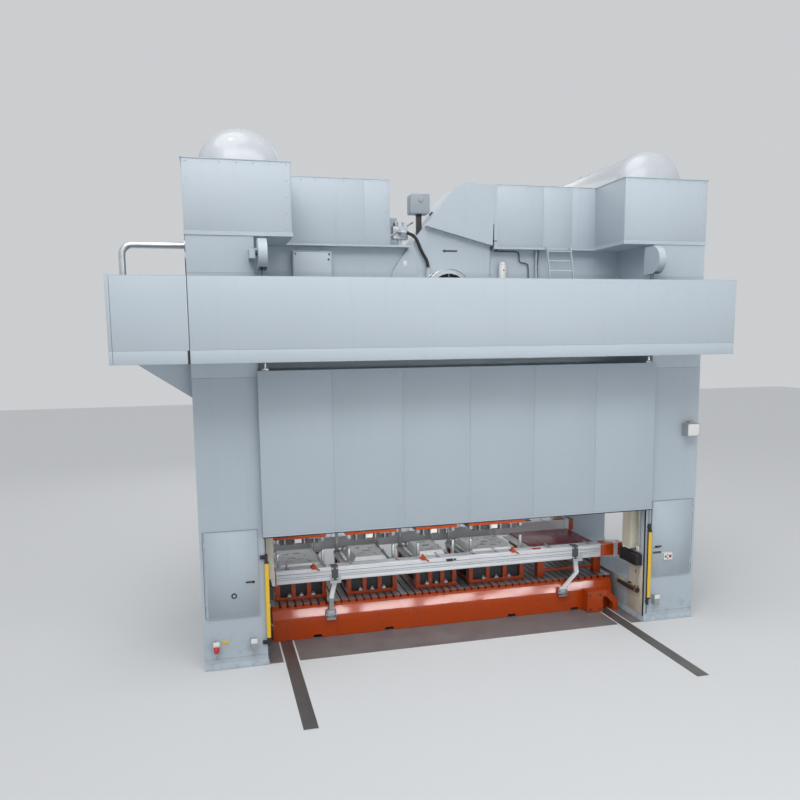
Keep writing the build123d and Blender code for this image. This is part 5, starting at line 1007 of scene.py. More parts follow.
orange_parts, dark_parts_and_slot_shade, steel_parts, cast_parts, form_parts_with_painted_sheen = Shape(), Shape(), Shape(), Shape(), Shape()
for middle, width in stations:
    left, right = middle - width / 2, middle + width / 2
    orange_parts.box(left, right, -die_half, die_half, bolster_top, plate_top, soft=0.006)
    for end in (-1, 1):
        front = end * (die_half - 0.012)
        for step in range(uprights):
            x = left + 0.055 + (width - 0.11) * step / (uprights - 1)
            orange_parts.box(x - 0.045, x + 0.045, front, front - end * 0.16, plate_top, shoe_bottom,
                             soft=0.005)
            orange_parts.box(x - 0.055, x + 0.055, front + end * 0.006, front - end * 0.02, plate_top, 0.80,
                             soft=0.003)
        dark_parts_and_slot_shade.box(left + 0.03, right - 0.03, end * (die_half - 0.06), end * (die_half - 0.14),
                       plate_top, 1.100, soft=0.004)
        for x in (left + width * 0.27, middle, left + width * 0.73):
            steel_parts.box(x - 0.035, x + 0.035, end * die_half, end * (die_half - 0.06), plate_top, 0.815,
                            soft=0.004)
            steel_parts.rod((x, end * (die_half - 0.03), 0.815), (x, end * (die_half - 0.03), 0.85), 0.016, 6)
    dark_parts_and_slot_shade.box(left + 0.05, right - 0.05, -0.62, 0.62, plate_top, 1.100, soft=0.006)
    cast_parts.box(left, right, -die_half, die_half, shoe_bottom, shoe_top, soft=0.008)
    for end in (-1, 1):
        for step in (0.18, 0.82):
            x = left + width * step
            cast_parts.rod((x, end * die_half, 1.162), (x, end * (die_half + 0.045), 1.162), 0.026, 20)
            cast_parts.rod((x, end * (die_half + 0.035), 1.162), (x, end * (die_half + 0.05), 1.162), 0.040,
                           20)
    for x, y in post_spots(middle, width):
        steel_parts.turned((x, y, shoe_top), (0, 0, 1),
                           [(0, 0.060), (0.030, 0.060), (0.034, 0.054), (0.035, 0.0355), (0.450, 0.0355),
                            (0.462, 0.030), (0.465, 0.022)], 28)
        for angle in (45, 135, 225, 315):
            bolt_x = x + 0.050 * math.cos(math.radians(angle))
            bolt_y = y + 0.050 * math.sin(math.radians(angle))
            dark_parts_and_slot_shade.rod((bolt_x, bolt_y, 1.235), (bolt_x, bolt_y, 1.246), 0.007, 6)
print("die stacks", len(stations))

# %% A bright top for each station


def pocket_ring(shape, x, y, half_x, half_y, z, wide, tall):
    """A raised band that follows a rounded rectangle, whose corners are squarer the lower the power is."""
    count, power = 40, 0.35
    outer, inner = [], []
    for step in range(count):
        angle = 2 * math.pi * step / count
        c, s = math.cos(angle), math.sin(angle)
        for ring, shrink in ((outer, 0.0), (inner, wide)):
            ring.append((x + (half_x - shrink) * math.copysign(abs(c) ** power, c),
                         y + (half_y - shrink) * math.copysign(abs(s) ** power, s)))
    for step in range(count):
        after = (step + 1) % count
        quad = [outer[step], outer[after], inner[after], inner[step]]
        low = [shape.mesh.verts.new((px, py, z)) for px, py in quad]
        high = [shape.mesh.verts.new((px, py, z + tall)) for px, py in quad]
        faces = [shape.mesh.faces.new(list(reversed(low))), shape.mesh.faces.new(high)]
        for index in range(4):
            other = (index + 1) % 4
            faces.append(shape.mesh.faces.new((low[index], low[other], high[other], high[index])))
        bmesh.ops.recalc_face_normals(shape.mesh, faces=faces)


# Each form: offset from the middle, half sizes and height of the bright block, and how far its sides lean.
tops = ((0.02, -0.05, 0.43, 0.60, 0.140, 0.05), (0.03, -0.02, 0.40, 0.56, 0.150, 0.10),
        (0.0, -0.02, 0.32, 0.50, 0.150, 0.07), (0.02, -0.02, 0.50, 0.56, 0.120, 0.05))
for (middle, _), (dx, dy, half_x, half_y, tall, lean) in zip(stations, tops):
    x, y = middle + dx, dy
    frustum(cast_parts, x, y, half_x + 0.06, half_y + 0.08, shoe_top, form_bottom, 0.01)
    frustum(form_parts_with_painted_sheen, x, y, half_x, half_y, form_bottom, form_bottom + tall, lean, 0.005)
    top = form_bottom + tall
    inside_x, inside_y = half_x - lean, half_y - lean
    pocket_ring(steel_parts, x, y, inside_x - 0.03, inside_y - 0.03, top, 0.012, 0.004)
    for side in (-1, 1):
        steel_parts.box(x + side * (half_x + 0.05), x + side * (half_x + 0.09), y - 0.40, y + 0.40,
                        shoe_top, 1.285, soft=0.004)
        for step in range(4):
            at = y - 0.33 + 0.22 * step
            dark_parts_and_slot_shade.rod((x + side * (half_x + 0.07), at, 1.285), (x + side * (half_x + 0.07), at, 1.292),
                           0.010, 6)

# Slots and pockets of the forms, drawn as short dark bars of painted shade that lie in the bright top: for
# each station, the bar's place from the middle, its length, its width and its turn in degrees.
slots = (
    ((-0.20, -0.30, 0.15, 0.010, 20), (-0.12, -0.12, 0.20, 0.012, -35), (0.05, -0.22, 0.14, 0.016, 15),
     (0.18, 0.05, 0.16, 0.010, 65), (-0.22, 0.18, 0.11, 0.018, 5), (0.02, 0.22, 0.20, 0.010, -12),
     (0.20, -0.36, 0.09, 0.016, -50), (-0.30, 0.00, 0.10, 0.010, 85)),
    ((-0.14, -0.22, 0.15, 0.012, -18), (0.00, -0.05, 0.18, 0.024, 4), (0.14, 0.14, 0.12, 0.010, 30),
     (-0.15, 0.20, 0.10, 0.014, -30), (0.16, -0.26, 0.07, 0.010, 60)),
    ((0.0, 0.0, 0.15, 0.060, 0), (-0.12, 0.20, 0.08, 0.010, 20), (0.12, -0.20, 0.08, 0.010, -20),
     (0.0, 0.28, 0.16, 0.010, 0), (0.0, -0.30, 0.16, 0.010, 0)),
    ((-0.30, -0.28, 0.09, 0.020, 15), (-0.12, -0.18, 0.12, 0.026, -25), (0.10, -0.28, 0.13, 0.020, 8),
     (0.30, -0.16, 0.08, 0.026, 60), (-0.28, 0.06, 0.10, 0.020, 75), (0.0, 0.02, 0.16, 0.032, 0),
     (0.24, 0.10, 0.12, 0.018, -35), (-0.12, 0.24, 0.14, 0.022, 12), (0.16, 0.30, 0.11, 0.016, -10),
     (0.34, 0.34, 0.06, 0.022, 40), (-0.34, 0.34, 0.06, 0.022, -40)),
)
for (middle, _), (dx, dy, _, _, tall, _), bars in zip(stations, tops, slots):
    for bar_x, bar_y, length, wide, degrees in bars:
        turn_by = Matrix.Rotation(math.radians(degrees), 4, "Z")
        dark_parts_and_slot_shade.box(middle + dx + bar_x - length / 2, middle + dx + bar_x + length / 2,
                       dy + bar_y - wide / 2, dy + bar_y + wide / 2, form_bottom + tall - 0.01,
                       1.2425 + tall, turn=turn_by)
        steel_parts.box(middle + dx + bar_x * 0.8 - length * 0.3, middle + dx + bar_x * 0.8 + length * 0.3,
                        dy + bar_y + wide + 0.02, dy + bar_y + wide + 0.03, form_bottom + tall - 0.01,
                        1.248 + tall, soft=0.001, turn=turn_by)
print("tops", len(tops), "slots", sum(len(bars) for bars in slots))

# %% Springs, pins and lifters of the lower dies
for middle, width in stations:
    for side in (-1, 1):
        for end in (-1, 1):
            x = middle + side * (width / 2 - 0.20)
            y = end * (die_half - 0.10)
            coil = [(x + 0.024 * math.cos(0.8 * step), y + 0.024 * math.sin(0.8 * step),
                     1.207 + 0.0018 * step) for step in range(48)]
            steel_parts.tube(coil, 0.0045, 6)
            orange_parts.knob((x, y, 1.293), (0, 0, 1), 0.034, 0.014, 0.018, 0.026)
    for step in range(5):
        x = middle - width * 0.30 + width * 0.15 * step
        steel_parts.turned((x, -die_half + 0.085, shoe_top), (0, 0, 1),
                           [(0, 0.018), (0.040, 0.018), (0.041, 0.010), (0.085, 0.010), (0.090, 0.005)], 16)
    block_x = middle + width * 0.32
    cast_parts.box(block_x - 0.05, block_x + 0.05, -die_half + 0.02, -die_half + 0.10, shoe_top, 1.245,
                   soft=0.004)
first = orange_parts.piece("die_plates_and_uprights", "bolster", orange_paint)
# The dark die parts are real blocks and bolt heads, together with the bars of painted shade in the slots and
# pockets of the forms.
dark_parts_and_slot_shade.piece("die_blocks", "bolster", dark_paint)
steel_parts.piece("die_posts_and_clamps", "bolster", steel)
cast_parts.piece("die_shoes", "bolster", die_steel)
form_parts_with_painted_sheen.piece("die_forms_painted_sheen", "bolster", form_steel_with_painted_sheen)
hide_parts("lower_dies")
print("lower dies done")

# %% [markdown]
# ### Upper dies
# Below the slide hang the matching halves. Seen under the door, they are a dark band with orange bars along
# the front, bright stops, white blocks and the bores that the guide posts run in.

# %% Upper dies under the slide
upper_bottom = 1.962
orange_bars, bright, white_blocks = Shape(), Shape(), Shape()
for middle, width in stations:
    left, right = middle - width / 2, middle + width / 2
    for end in (-1, 1):
        orange_bars.box(left, right, end * (die_half - 0.030), end * (die_half + 0.015), 1.955, 2.012,
                        soft=0.004)
    for step in range(4):
        x = left + width * (0.22 + 0.56 * step / 3)
        orange_bars.box(x - 0.035, x + 0.035, -die_half - 0.020, -die_half + 0.010, 2.000, 2.045, soft=0.003)
        bright.turned((x, -die_half + 0.085, upper_bottom), (0, 0, -1),
                      [(0, 0.026), (0.050, 0.026), (0.052, 0.018), (0.130, 0.018), (0.134, 0.013)], 20)
    white_blocks.box(middle - 0.10, middle + 0.04, -die_half + 0.06, -die_half + 0.14, 1.850, 1.960,
                     soft=0.004)
    bright.box(right - 0.34, right - 0.16, -die_half + 0.055, -die_half + 0.10, 1.925, 1.960, soft=0.003)
    for x, y in post_spots(middle, width):
        bright.turned((x, y, upper_bottom), (0, 0, -1),
                      [(0, 0.058), (0.085, 0.058), (0.088, 0.052), (0.088, 0.039), (0.0, 0.039)], 28,
                      hollow=True)
orange_bars.piece("upper_die_bars", "slide", orange_paint)
bright.piece("upper_die_stops", "slide", steel)
white_blocks.piece("upper_die_blocks", "slide", white_plastic)
print("upper dies done")

# %% Stand of the last station
stand = Shape()
for x in (2.13, 3.47):
    for y in (-0.74, 0.74):
        stand.box(x - 0.08, x + 0.08, y - 0.08, y + 0.08, bolster_top, form_bottom, soft=0.006)
for y in (-0.74, 0.74):
    stand.box(2.05, 3.55, y - 0.03, y + 0.03, 0.80, 0.86, soft=0.004)
stand_piece = stand.piece("stand_legs", "bolster", orange_paint)
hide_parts("part_stand")
top_sheet = Shape().box(2.03, 3.57, -0.83, 0.83, 1.236, 1.262, soft=0.005)
top_sheet.box(1.86, 2.06, -0.60, 0.70, 1.236, 1.256, soft=0.004)
top_sheet.piece("stand_white_top", "bolster", white_plastic)
panel = Shape().box(2.07, 3.55, -0.80, 0.80, 1.262, 1.300, soft=0.016)
panel.box(2.20, 3.40, -0.66, 0.66, 1.298, 1.306, soft=0.003)
panel.piece("stand_dark_red_panel", "bolster", wine_paint)
rim = Shape()
for x in (2.10, 2.55, 3.0, 3.45):
    rim.box(x - 0.03, x + 0.03, -0.835, -0.815, 1.236, 1.290, soft=0.003)
rim.piece("stand_stops", "bolster", steel)
print("stand done")

# %% [markdown]
# ## Bolster and transfer rails
# The rolling bolster is one long orange box with a glossy chamfer. It needs little: the joint in its face,
# the lip under its plate, a few screws and the steel feet on its rests. The transfer rail is an aluminium
# section with grooves. Small orange clamps and steel fingers sit on it, and dark brackets hold it.

# %% Details of the bolster
bolster_front = -1.1335
rest_places = ((-2.515, 0.47), (2.475, 0.44))
edge = Shape().box(-2.390, -2.386, -1.1337, -1.1325, 0.012, 0.437)
edge.piece("bolster_seams", "bolster", dark_paint)
lip = Shape()
for end in (-1, 1):
    lip.box(-3.656, 3.656, end * 1.0745, end * 1.0785, 0.608, 0.653, soft=0.001)
lip.piece("bolster_lip", "bolster", orange_paint)
face_screws = [spot for x in (-3.60, 2.91)
               for spot in row((x, bolster_front, 0.40), (x, bolster_front, 0.06), 4)]
heads("bolster_face_screws", "bolster", face_screws, radius=0.012, height=0.007, material=orange_paint)
heads("end_block_screws", "bolster", [(x, -1.3735, z) for x in (3.03, 3.26) for z in (0.07, 0.38)],
      radius=0.018, height=0.012, material=blackened)
rests = Shape()
for x, low in rest_places:
    rests.box(x - 0.110, x + 0.110, -1.196, -1.131, low - 0.06, low + 0.07, soft=0.006)
rests.piece("rest_feet", "bolster", steel)
rest_screws = [(x + dx, -1.197, z + dz) for x, z in rest_places
               for dx in (-0.08, 0.08) for dz in (-0.03, 0.045)]
heads("rest_screws", "bolster", rest_screws, radius=0.012, height=0.010, material=blackened)
print("bolster details done")

# %% Details of the transfer rails
rail_half, line_half = 3.600, 3.598
bracket_places = (-2.44, 2.70)
for end, word in ((-1, "front"), (1, "rear")):
    face = end * 1.270
    body = word + "_transfer_rail"
    lines = Shape()
    for z0, z1 in ((1.268, 1.271), (1.306, 1.311), (1.372, 1.376)):
        lines.box(-line_half, line_half, face, face + end * 0.0022, z0, z1)
    lines.piece(word + "_rail_lines", body, charcoal_paint)
    band = Shape()
    for z0, z1 in ((1.195, 1.240), (1.318, 1.366), (1.430, 1.456)):
        band.box(-line_half, line_half, face - end * 0.001, face + end * 0.003, z0, z1, soft=0.0012)
    band.piece(word + "_rail_bands", body, rail_metal)
    clamps = Shape()
    for x in (-2.85, -0.64, 1.30):
        clamps.box(x - 0.055, x + 0.055, end * 1.262, end * 1.160, 1.460, 1.492, soft=0.005)
        clamps.knob((x, end * 1.215, 1.492), (0, 0, 1), 0.030, 0.045, 0.050, 0.022)
        clamps.box(x - 0.045, x + 0.045, end * 1.272, end * 1.290, 1.440, 1.500, soft=0.005)
        clamps.rod((x + 0.02, end * 1.285, 1.480), (x + 0.11, end * 1.300, 1.415), 0.016, 12)
    clamps.box(1.75, 1.93, end * 1.262, end * 1.170, 1.460, 1.478, soft=0.004)
    for tip, front_start, top_start in ((-rail_half, -3.575, -3.58), (rail_half, 3.30, 3.330)):
        clamps.box(tip, front_start, face, face + end * 0.014, 1.200, 1.452, soft=0.004)
        clamps.box(tip, top_start, end * 1.035, face, 1.461, 1.475, soft=0.004)
    clamps.piece(word + "_rail_clamps", body, orange_paint)
    holders = Shape()
    for x in bracket_places:
        holders.box(x - 0.065, x + 0.065, face + end * 0.003, face + end * 0.018, 1.188, 1.466, soft=0.004)
        holders.box(x - 0.065, x + 0.065, end * 1.285, end * 1.12, 1.460, 1.474, soft=0.004)
    holders.piece(word + "_rail_brackets", body, charcoal_paint)
    plug = Shape().box(-0.16, -0.02, face + end * 0.003, face + end * 0.030, 1.385, 1.425, soft=0.006)
    plug.box(0.00, 0.05, face + end * 0.003, face + end * 0.020, 1.390, 1.420, soft=0.004)
    plug.piece(word + "_rail_plug", body, dark_paint)
    bare = Shape()
    for x in (0.10, -1.95):
        bare.box(x, x + 0.22, face + end * 0.0028, face + end * 0.004, 1.385, 1.420)
    bare.piece(word + "_rail_plates", body, white_plastic)
    fingers = Shape()
    for x in (-3.35, -2.62, -2.10, -1.15, -0.30, 0.45, 0.95, 2.15, 3.05):
        fingers.box(x - 0.030, x + 0.030, end * 1.250, end * 1.050, 1.461, 1.474, soft=0.003)
        fingers.box(x - 0.018, x + 0.018, end * 1.060, end * 0.93, 1.470, 1.486, soft=0.003)
        fingers.knob((x, end * 1.16, 1.474), (0, 0, 1), 0.014, 0.018, 0.020, 0.009, 12)
    fingers.piece(word + "_rail_fingers", body, steel)
    screws = [(x + dx, face + end * 0.018, z) for x in bracket_places for dx in (-0.045, 0.045)
              for z in (1.22, 1.43)]
    heads(word + "_rail_screws", body, screws, facing=(0, end, 0), radius=0.012, height=0.010)
print("rails done")

# %% [markdown]
# ## Crown fittings
# Between the towers the crown is set back, and its fittings stand in the recess: an electrical cabinet hung
# on two straps, a ladder, a white cylinder, thin pipes and a small group of air valves. The covers beside
# the belt hood are thin sheet boxes with upright joints.

# %% Cover sheets and their joints
covers = Shape()
cover_front, cover_low, cover_high, tower_low = -0.970, 7.665, 8.850, 7.690
for x0, x1 in ((-3.176, -1.668), (-1.662, -1.172), (1.03, 2.018), (2.024, 2.649), (2.655, 3.176)):
    covers.box(x0, x1, cover_front - skin, cover_front, cover_low, cover_high, soft=0.0008)
for side in (-1, 1):
    for y in (column_face - skin, -column_face):
        covers.box(side * 3.186, side * 4.966, y, y + skin, tower_low, cover_high, soft=0.0008)
    covers.box(side * 3.180, side * 3.177, -2.110, -1.005, tower_low, cover_high, soft=0.0008)
for x0, x1 in ((-3.176, -2.003), (-1.997, -0.819), (0.819, 1.997), (2.003, 3.176)):
    covers.box(x0, x1, -cover_front, skin - cover_front, cover_low, cover_high, soft=0.0008)
covers.box(0.62, 0.970, -0.969, -0.966, 8.10, cover_high)
covers.box(0.968, 1.032, -0.9725, -0.966, 7.70, cover_high)
covers.piece("cover_sheets", "press_frame", body_paint)
flanges = Shape()
for side in (-1, 1):
    for x0, x1, y0, y1 in ((3.170, 4.982, -2.134, -2.100), (3.170, 4.982, 2.100, 2.134),
                           (3.168, 3.186, -2.10, 2.10), (4.966, 4.984, -2.134, 2.134)):
        flanges.box(side * x0, side * x1, y0, y1, 8.846, 8.862, soft=0.002)
for x0, x1 in ((-3.176, -1.170), (1.030, 3.176)):
    flanges.box(x0, x1, -0.978, -0.950, cover_high, 8.864, soft=0.002)
flanges.piece("cover_flanges", "press_frame", body_paint)
tower_screws, cover_screws = [], []
for side in (-1, 1):
    tower_screws += frame_row(side * 3.25, side * 4.90, -2.1235, 7.74, 8.80, 7, 5)
for x0, x1 in ((-3.12, -1.24), (1.10, 3.12)):
    cover_screws += frame_row(x0, x1, -0.9735, 7.71, 8.81, 8, 5)
for name, points in (("tower_screws", tower_screws), ("cover_screws", cover_screws)):
    heads(name, "press_frame", points, radius=0.009, height=0.004, sides=12, material=body_paint)
print("covers done")

# %% Seams of the crown and rear sheets
seams = Shape()
for side in (-1, 1):
    seams.box(side * 3.60, side * 4.955, column_face - seam, column_face, 6.996, 6.999)
    seams.box(side * 3.62, side * 4.955, -column_face, seam - column_face, 5.2185, 5.2215)
    for x in (3.66, 4.26):
        seams.box(side * x, side * (x + 0.003), -column_face, seam - column_face, 5.222, 7.60)
for x in (-2.4, -1.2, 0.0, 1.2, 2.4):
    seams.box(x - 0.0015, x + 0.0015, 0.760, 0.7607, 4.70, 7.60)
seams.piece("crown_seams", "press_frame", dark_paint)
service = Shape()
for side in (-1, 1):
    service.box(side * 3.98, side * 4.84, 2.150, 2.156, 1.00, 2.45, soft=0.003)
    service.box(side * 4.03, side * 4.79, 2.156, 2.159, 1.05, 2.40, soft=0.002)
service.piece("rear_service_plates", "press_frame", body_paint)
service_screws = []
for side in (-1, 1):
    service_screws += frame_row(side * 4.005, side * 4.815, 2.1565, 1.025, 2.425, 5, 7)
heads("rear_service_screws", "press_frame", service_screws, facing=(0, 1, 0), radius=0.011, height=0.007)
print("seams done")

# %% Electrical cabinet, valves and thin pipes
cabinet = Shape()
cabinet.box(-3.028, -2.324, -0.972, -0.960, 6.865, 7.490, soft=0.006)
cabinet.box(-3.050, -2.302, -0.975, -0.945, 7.500, 7.515, soft=0.003)
cabinet.box(-3.080, -3.020, -0.900, -0.800, 6.92, 7.00, soft=0.004)
cabinet.piece("cabinet_door", "press_frame", cabinet_paint)
heads("cabinet_screws", "press_frame", [(x, -0.9725, z) for x in (-2.995, -2.357) for z in (6.90, 7.455)],
      radius=0.013, height=0.007, sides=14, material=blackened)
latch = Shape()
for z in (7.00, 7.36):
    latch.knob((-2.37, -0.972, z), (0, -1, 0), 0.018, 0.010, 0.013, 0.012)
    latch.box(-2.372, -2.368, -0.988, -0.984, z - 0.010, z + 0.010)
latch.piece("cabinet_locks", "press_frame", blackened)
valves = Shape()
valves.box(-1.062, -0.955, -0.812, -0.800, 7.80, 8.01, soft=0.004)
valves.turned((-0.990, -0.720, 8.028), (0, 0, 1),
              [(0, 0.047), (0.010, 0.050), (0.075, 0.050), (0.092, 0.036), (0.094, 0.016)], 28)
valves.turned((-0.84, -0.720, 8.028), (0, 0, 1),
              [(0, 0.030), (0.030, 0.030), (0.032, 0.020), (0.070, 0.020), (0.072, 0.032), (0.086, 0.032)],
              24)
valves.rod((-0.955, -0.812, 7.93), (-0.955, -0.850, 7.93), 0.030, 20)
valves.rod((-0.80, -0.76, 7.84), (-0.80, -0.835, 7.84), 0.024, 20)
valves.turned((-0.720, -0.705, 7.93), (1, 0, 0),
              [(-0.045, 0.030), (0.0, 0.030), (0.002, 0.022), (0.05, 0.022)], 20)
valves.piece("valve_parts", "press_frame", steel)
inclined = Shape()
inclined.rod((-1.20, -0.90, 7.79), (-0.62, -0.62, 8.13), 0.016, 14)
inclined.turned((-1.20, -0.90, 7.79), (-0.86, -0.41, -0.5), [(0, 0.020), (0.03, 0.030), (0.055, 0.020)], 16)
inclined.rod((-1.10, -0.852, 7.848), (-1.06, -0.80, 7.80), 0.012, 10)
inclined.piece("inclined_rod", "press_frame", steel)
motor_box = Shape()
motor_box.box(-0.675, -0.312, -0.777, -0.770, 8.305, 8.660, soft=0.004)
motor_box.knob((-0.49, -0.777, 8.55), (0, -1, 0), 0.05, 0.012, 0.016, 0.04, 28)
motor_box.piece("small_motor_cover", "press_frame", grey_paint)
post = Shape().box(-0.542, -0.444, -0.668, -0.572, 7.652, 8.293, soft=0.004)
post.piece("small_motor_post", "press_frame", dark_paint)
cylinder = Shape().turned((1.187, -0.867, 5.66), (0, 0, 1),
                          [(0, 0.055), (0.002, 0.0755), (1.640, 0.0755), (1.690, 0.062), (1.705, 0.030),
                           (1.712, 0.002)], 40)
cylinder.piece("white_cylinder", "press_frame", white_plastic)
spot_shape = Shape().knob((1.187, -0.943, 7.20), (0, -1, 0), 0.016, 0.004, 0.006, 0.012)
spot_shape.piece("red_spot", "press_frame", red_plastic)
thin_pipes = Shape()
stepped_run = ((1.03, 7.590), (1.20, 7.585), (1.50, 7.585), (1.56, 7.570), (1.575, 7.52), (1.575, 7.42),
               (1.60, 7.37), (1.72, 7.355), (1.77, 7.33), (1.78, 7.22), (1.78, 5.66))
thin_pipes.tube([(x, -0.80, z) for x, z in stepped_run], 0.012, 12)
thin_pipes.tube([(1.95, -0.845, 5.66), (1.95, -0.845, 6.6), (1.95, -0.86, 7.3), (1.96, -0.90, 7.60)], 0.012,
                12)
thin_pipes.piece("thin_pipes", "press_frame", blackened)
hook_x, hook_y, hook_z, hook_radius, hook_steps = 0.998, -0.88, 7.61, 0.05, 14
hook = Shape()
bend = []
for step in range(hook_steps + 1):
    angle = math.radians(250 * step / hook_steps - 40)
    bend.append((hook_x + hook_radius * math.cos(angle), hook_y, hook_z + hook_radius * math.sin(angle)))
for start, end in zip(bend, bend[1:]):
    hook.rod(start, end, 0.014, 10)
hook.rod((hook_x, hook_y, 7.66), (hook_x, hook_y, 7.765), 0.016, 12)
hook.box(0.968, 1.028, -0.975, -0.84, 7.755, 7.775, soft=0.003)
hook.piece("small_hook", "press_frame", blackened)
print("fittings done")

# %% [markdown]
# ### Belt hood and clutch guard
# The hood wraps the flywheel and the motor pulley in one sheet. Its front is two sheets with a rolled step
# between them, its edges carry a bead, and an arrow shows which way the belt runs. The round guard in front
# has a band of black mesh behind its rim, divided by thin bright bars.

# %% Edges, seam and arrow of the hood
guard_x, guard_z = -0.150, 6.700
motor_x, motor_z = 0.466, 8.366
centre_low, centre_high = Vector((guard_x, 0, guard_z)), Vector((motor_x, 0, motor_z))
wide_radius, narrow_radius = 1.043, 0.500
hood_face = -0.8415


def hull_line(grow, start, stop, count):
    """Points on the hood's outline, from the lower left round the top, grown outwards."""
    along = (centre_high - centre_low).normalized()
    lean = math.asin((wide_radius - narrow_radius) / (centre_high - centre_low).length)
    heading = math.atan2(along.z, along.x)
    points = []
    for step in range(count):
        angle = start + (stop - start) * step / (count - 1)
        turned_by = (angle - heading + math.pi) % (2 * math.pi) - math.pi
        low = abs(turned_by) > math.pi / 2 - lean
        middle, radius = (centre_low, wide_radius) if low else (centre_high, narrow_radius)
        points.append((middle.x + (radius + grow) * math.cos(angle),
                       middle.z + (radius + grow) * math.sin(angle)))
    return points


outline = hull_line(-0.004, math.radians(200), math.radians(-20), 90)
bead = Shape().tube([(x, -0.842, z) for x, z in outline if x < 0.3 and z < 7.9], 0.007, 8)
bead.piece("hood_bead", "press_frame", body_paint)
arc = Shape()
seam_radius = 0.62
angles = [math.radians(degrees) for degrees in range(20, 165, 6)]
arc.tube([(guard_x + seam_radius * math.cos(angle), -0.8405, guard_z + seam_radius * math.sin(angle))
          for angle in angles], 0.0025, 6)
arc.piece("hood_seam", "press_frame", body_paint)
arrow = Shape()
arrow_corners = ((-0.085, 7.568), (-0.015, 7.606), (-0.015, 7.586), (0.235, 7.588), (0.235, 7.552),
                 (-0.015, 7.550), (-0.015, 7.530))
arrow.plate([(x, hood_face, z) for x, z in arrow_corners], (0, 0.002, 0))
arrow.piece("way_arrow", "press_frame", charcoal_paint)
bare = Shape().box(-0.875, -0.795, -0.8418, -0.8400, 7.24, 7.37, soft=0.0006)
bare.piece("hood_plate", "press_frame", white_plastic)
flank_foot, flank_head = Vector((-0.971, 0, 7.343)), Vector((0.0725, 0, 8.674))
flank = (flank_head - flank_foot).normalized()
out = Vector((-0.7871, 0, 0.6169))
latches = Shape()
for share in (0.50, 0.74):
    spot = flank_foot.lerp(flank_head, share)
    corners = []
    for a, b in around:
        corners.append(spot + flank * (0.035 * a) + out * 0.001 + Vector((0, -0.50 + 0.055 * b, 0)))
    latches.plate([tuple(c) for c in corners], tuple(out * 0.022), soft=0.004)
latches.piece("hood_latches", "press_frame", dark_paint)
rim_screws = [(x, -0.8425, z) for x, z in hull_line(-0.06, math.radians(175), math.radians(130), 7)]
step_screws = [(-0.40 + 0.28 * n, -0.972, 7.985 - 0.073 * n) for n in range(5)]
heads("hood_screws", "press_frame", rim_screws + step_screws, radius=0.009, height=0.005, sides=12)
print("hood done", len(outline))

# %% Mesh band and bars of the clutch guard
guard_radius = 0.450


def round_guard(radius, y, degrees):
    """A point at this distance from the guard's axis."""
    angle = math.radians(degrees)
    return guard_x + radius * math.cos(angle), y, guard_z + radius * math.sin(angle)


mesh_band, bars = Shape(), Shape()
band_low, band_high = guard_radius + 0.0015, guard_radius + 0.004
mesh_band.turned((guard_x, -1.42, guard_z), (0, 1, 0),
                 [(0, band_low), (0.001, band_high), (0.20, band_high), (0.201, band_low)], 72)
mesh_band.turned((guard_x, -1.5215, guard_z), (0, -1, 0),
                 [(0, 0.305), (0.0015, 0.305), (0.0015, 0.371), (0, 0.371)], 96, hollow=True)
mesh_band.piece("guard_mesh_band", "press_frame", mesh_black)
for degrees in range(90, 450, 30):
    bars.rod(round_guard(guard_radius + 0.006, -1.435, degrees),
             round_guard(guard_radius + 0.006, -1.205, degrees), 0.008, 10)
for degrees in range(92, 452, 60):
    bars.rod(round_guard(0.30, -1.524, degrees), round_guard(0.375, -1.524, degrees), 0.010, 10)
for y in (-1.525, -1.43, -1.21):
    bars.tube([round_guard(band_high, y, degrees) for degrees in range(0, 361, 5)], 0.008, 8)
bars.piece("guard_bars", "press_frame", steel)
heads("guard_screws", "press_frame", [round_guard(0.375, -1.521, degrees) for degrees in range(15, 375, 30)],
      radius=0.012, height=0.008)
print("guard done")

# %% [markdown]
# ### Roof, sides and motor
# From above and behind, the press shows its service side: hatches over the gears, each lifted by two bow
# handles, plates with screws on the sides, and the ribs of the drive motor.

# %% Hatches on the covers and plates on the sides
hatches, handles = Shape(), Shape()
cover_top, side_face = 8.857, 4.982
hatch_places = (1.62, 2.62)
side_plates = (-1.35, 0.0, 1.35)
bow = ((-0.09, 0.0), (-0.09, 0.045), (-0.07, 0.06), (0.07, 0.06), (0.09, 0.045), (0.09, 0.0))
for side in (-1, 1):
    for place in hatch_places:
        middle = side * place
        hatches.box(middle - 0.42, middle + 0.42, -0.72, 0.72, cover_top - 0.002, cover_top + 0.012,
                    soft=0.003)
        for y in (-0.45, 0.45):
            handles.tube([(middle + dx, y, cover_top + dz) for dx, dz in bow], 0.008, 10)
    for y in side_plates:
        hatches.box(side * 4.975, side * side_face, y - 0.50, y + 0.50, 5.35, 7.30, soft=0.003)
hatches.piece("service_hatches", "press_frame", body_paint)
handles.piece("hatch_handles", "press_frame", dark_paint)
hatch_screws = [(side * place + x, y, cover_top + 0.012) for side in (-1, 1) for place in hatch_places
                for x in (-0.38, 0.38) for y in (-0.66, -0.33, 0.0, 0.33, 0.66)]
heads("hatch_screws", "press_frame", hatch_screws, facing=(0, 0, 1), radius=0.011, height=0.008)
for side, word in both_sides:
    side_screws = [(side * side_face, y + dy, z) for y in side_plates for dy in (-0.46, 0.46)
                   for z in (5.39, 6.02, 6.65, 7.26)]
    heads(word + "_side_screws", "press_frame", side_screws, facing=(side, 0, 0), radius=0.011, height=0.008)
print("hatches done", len(hatch_screws))

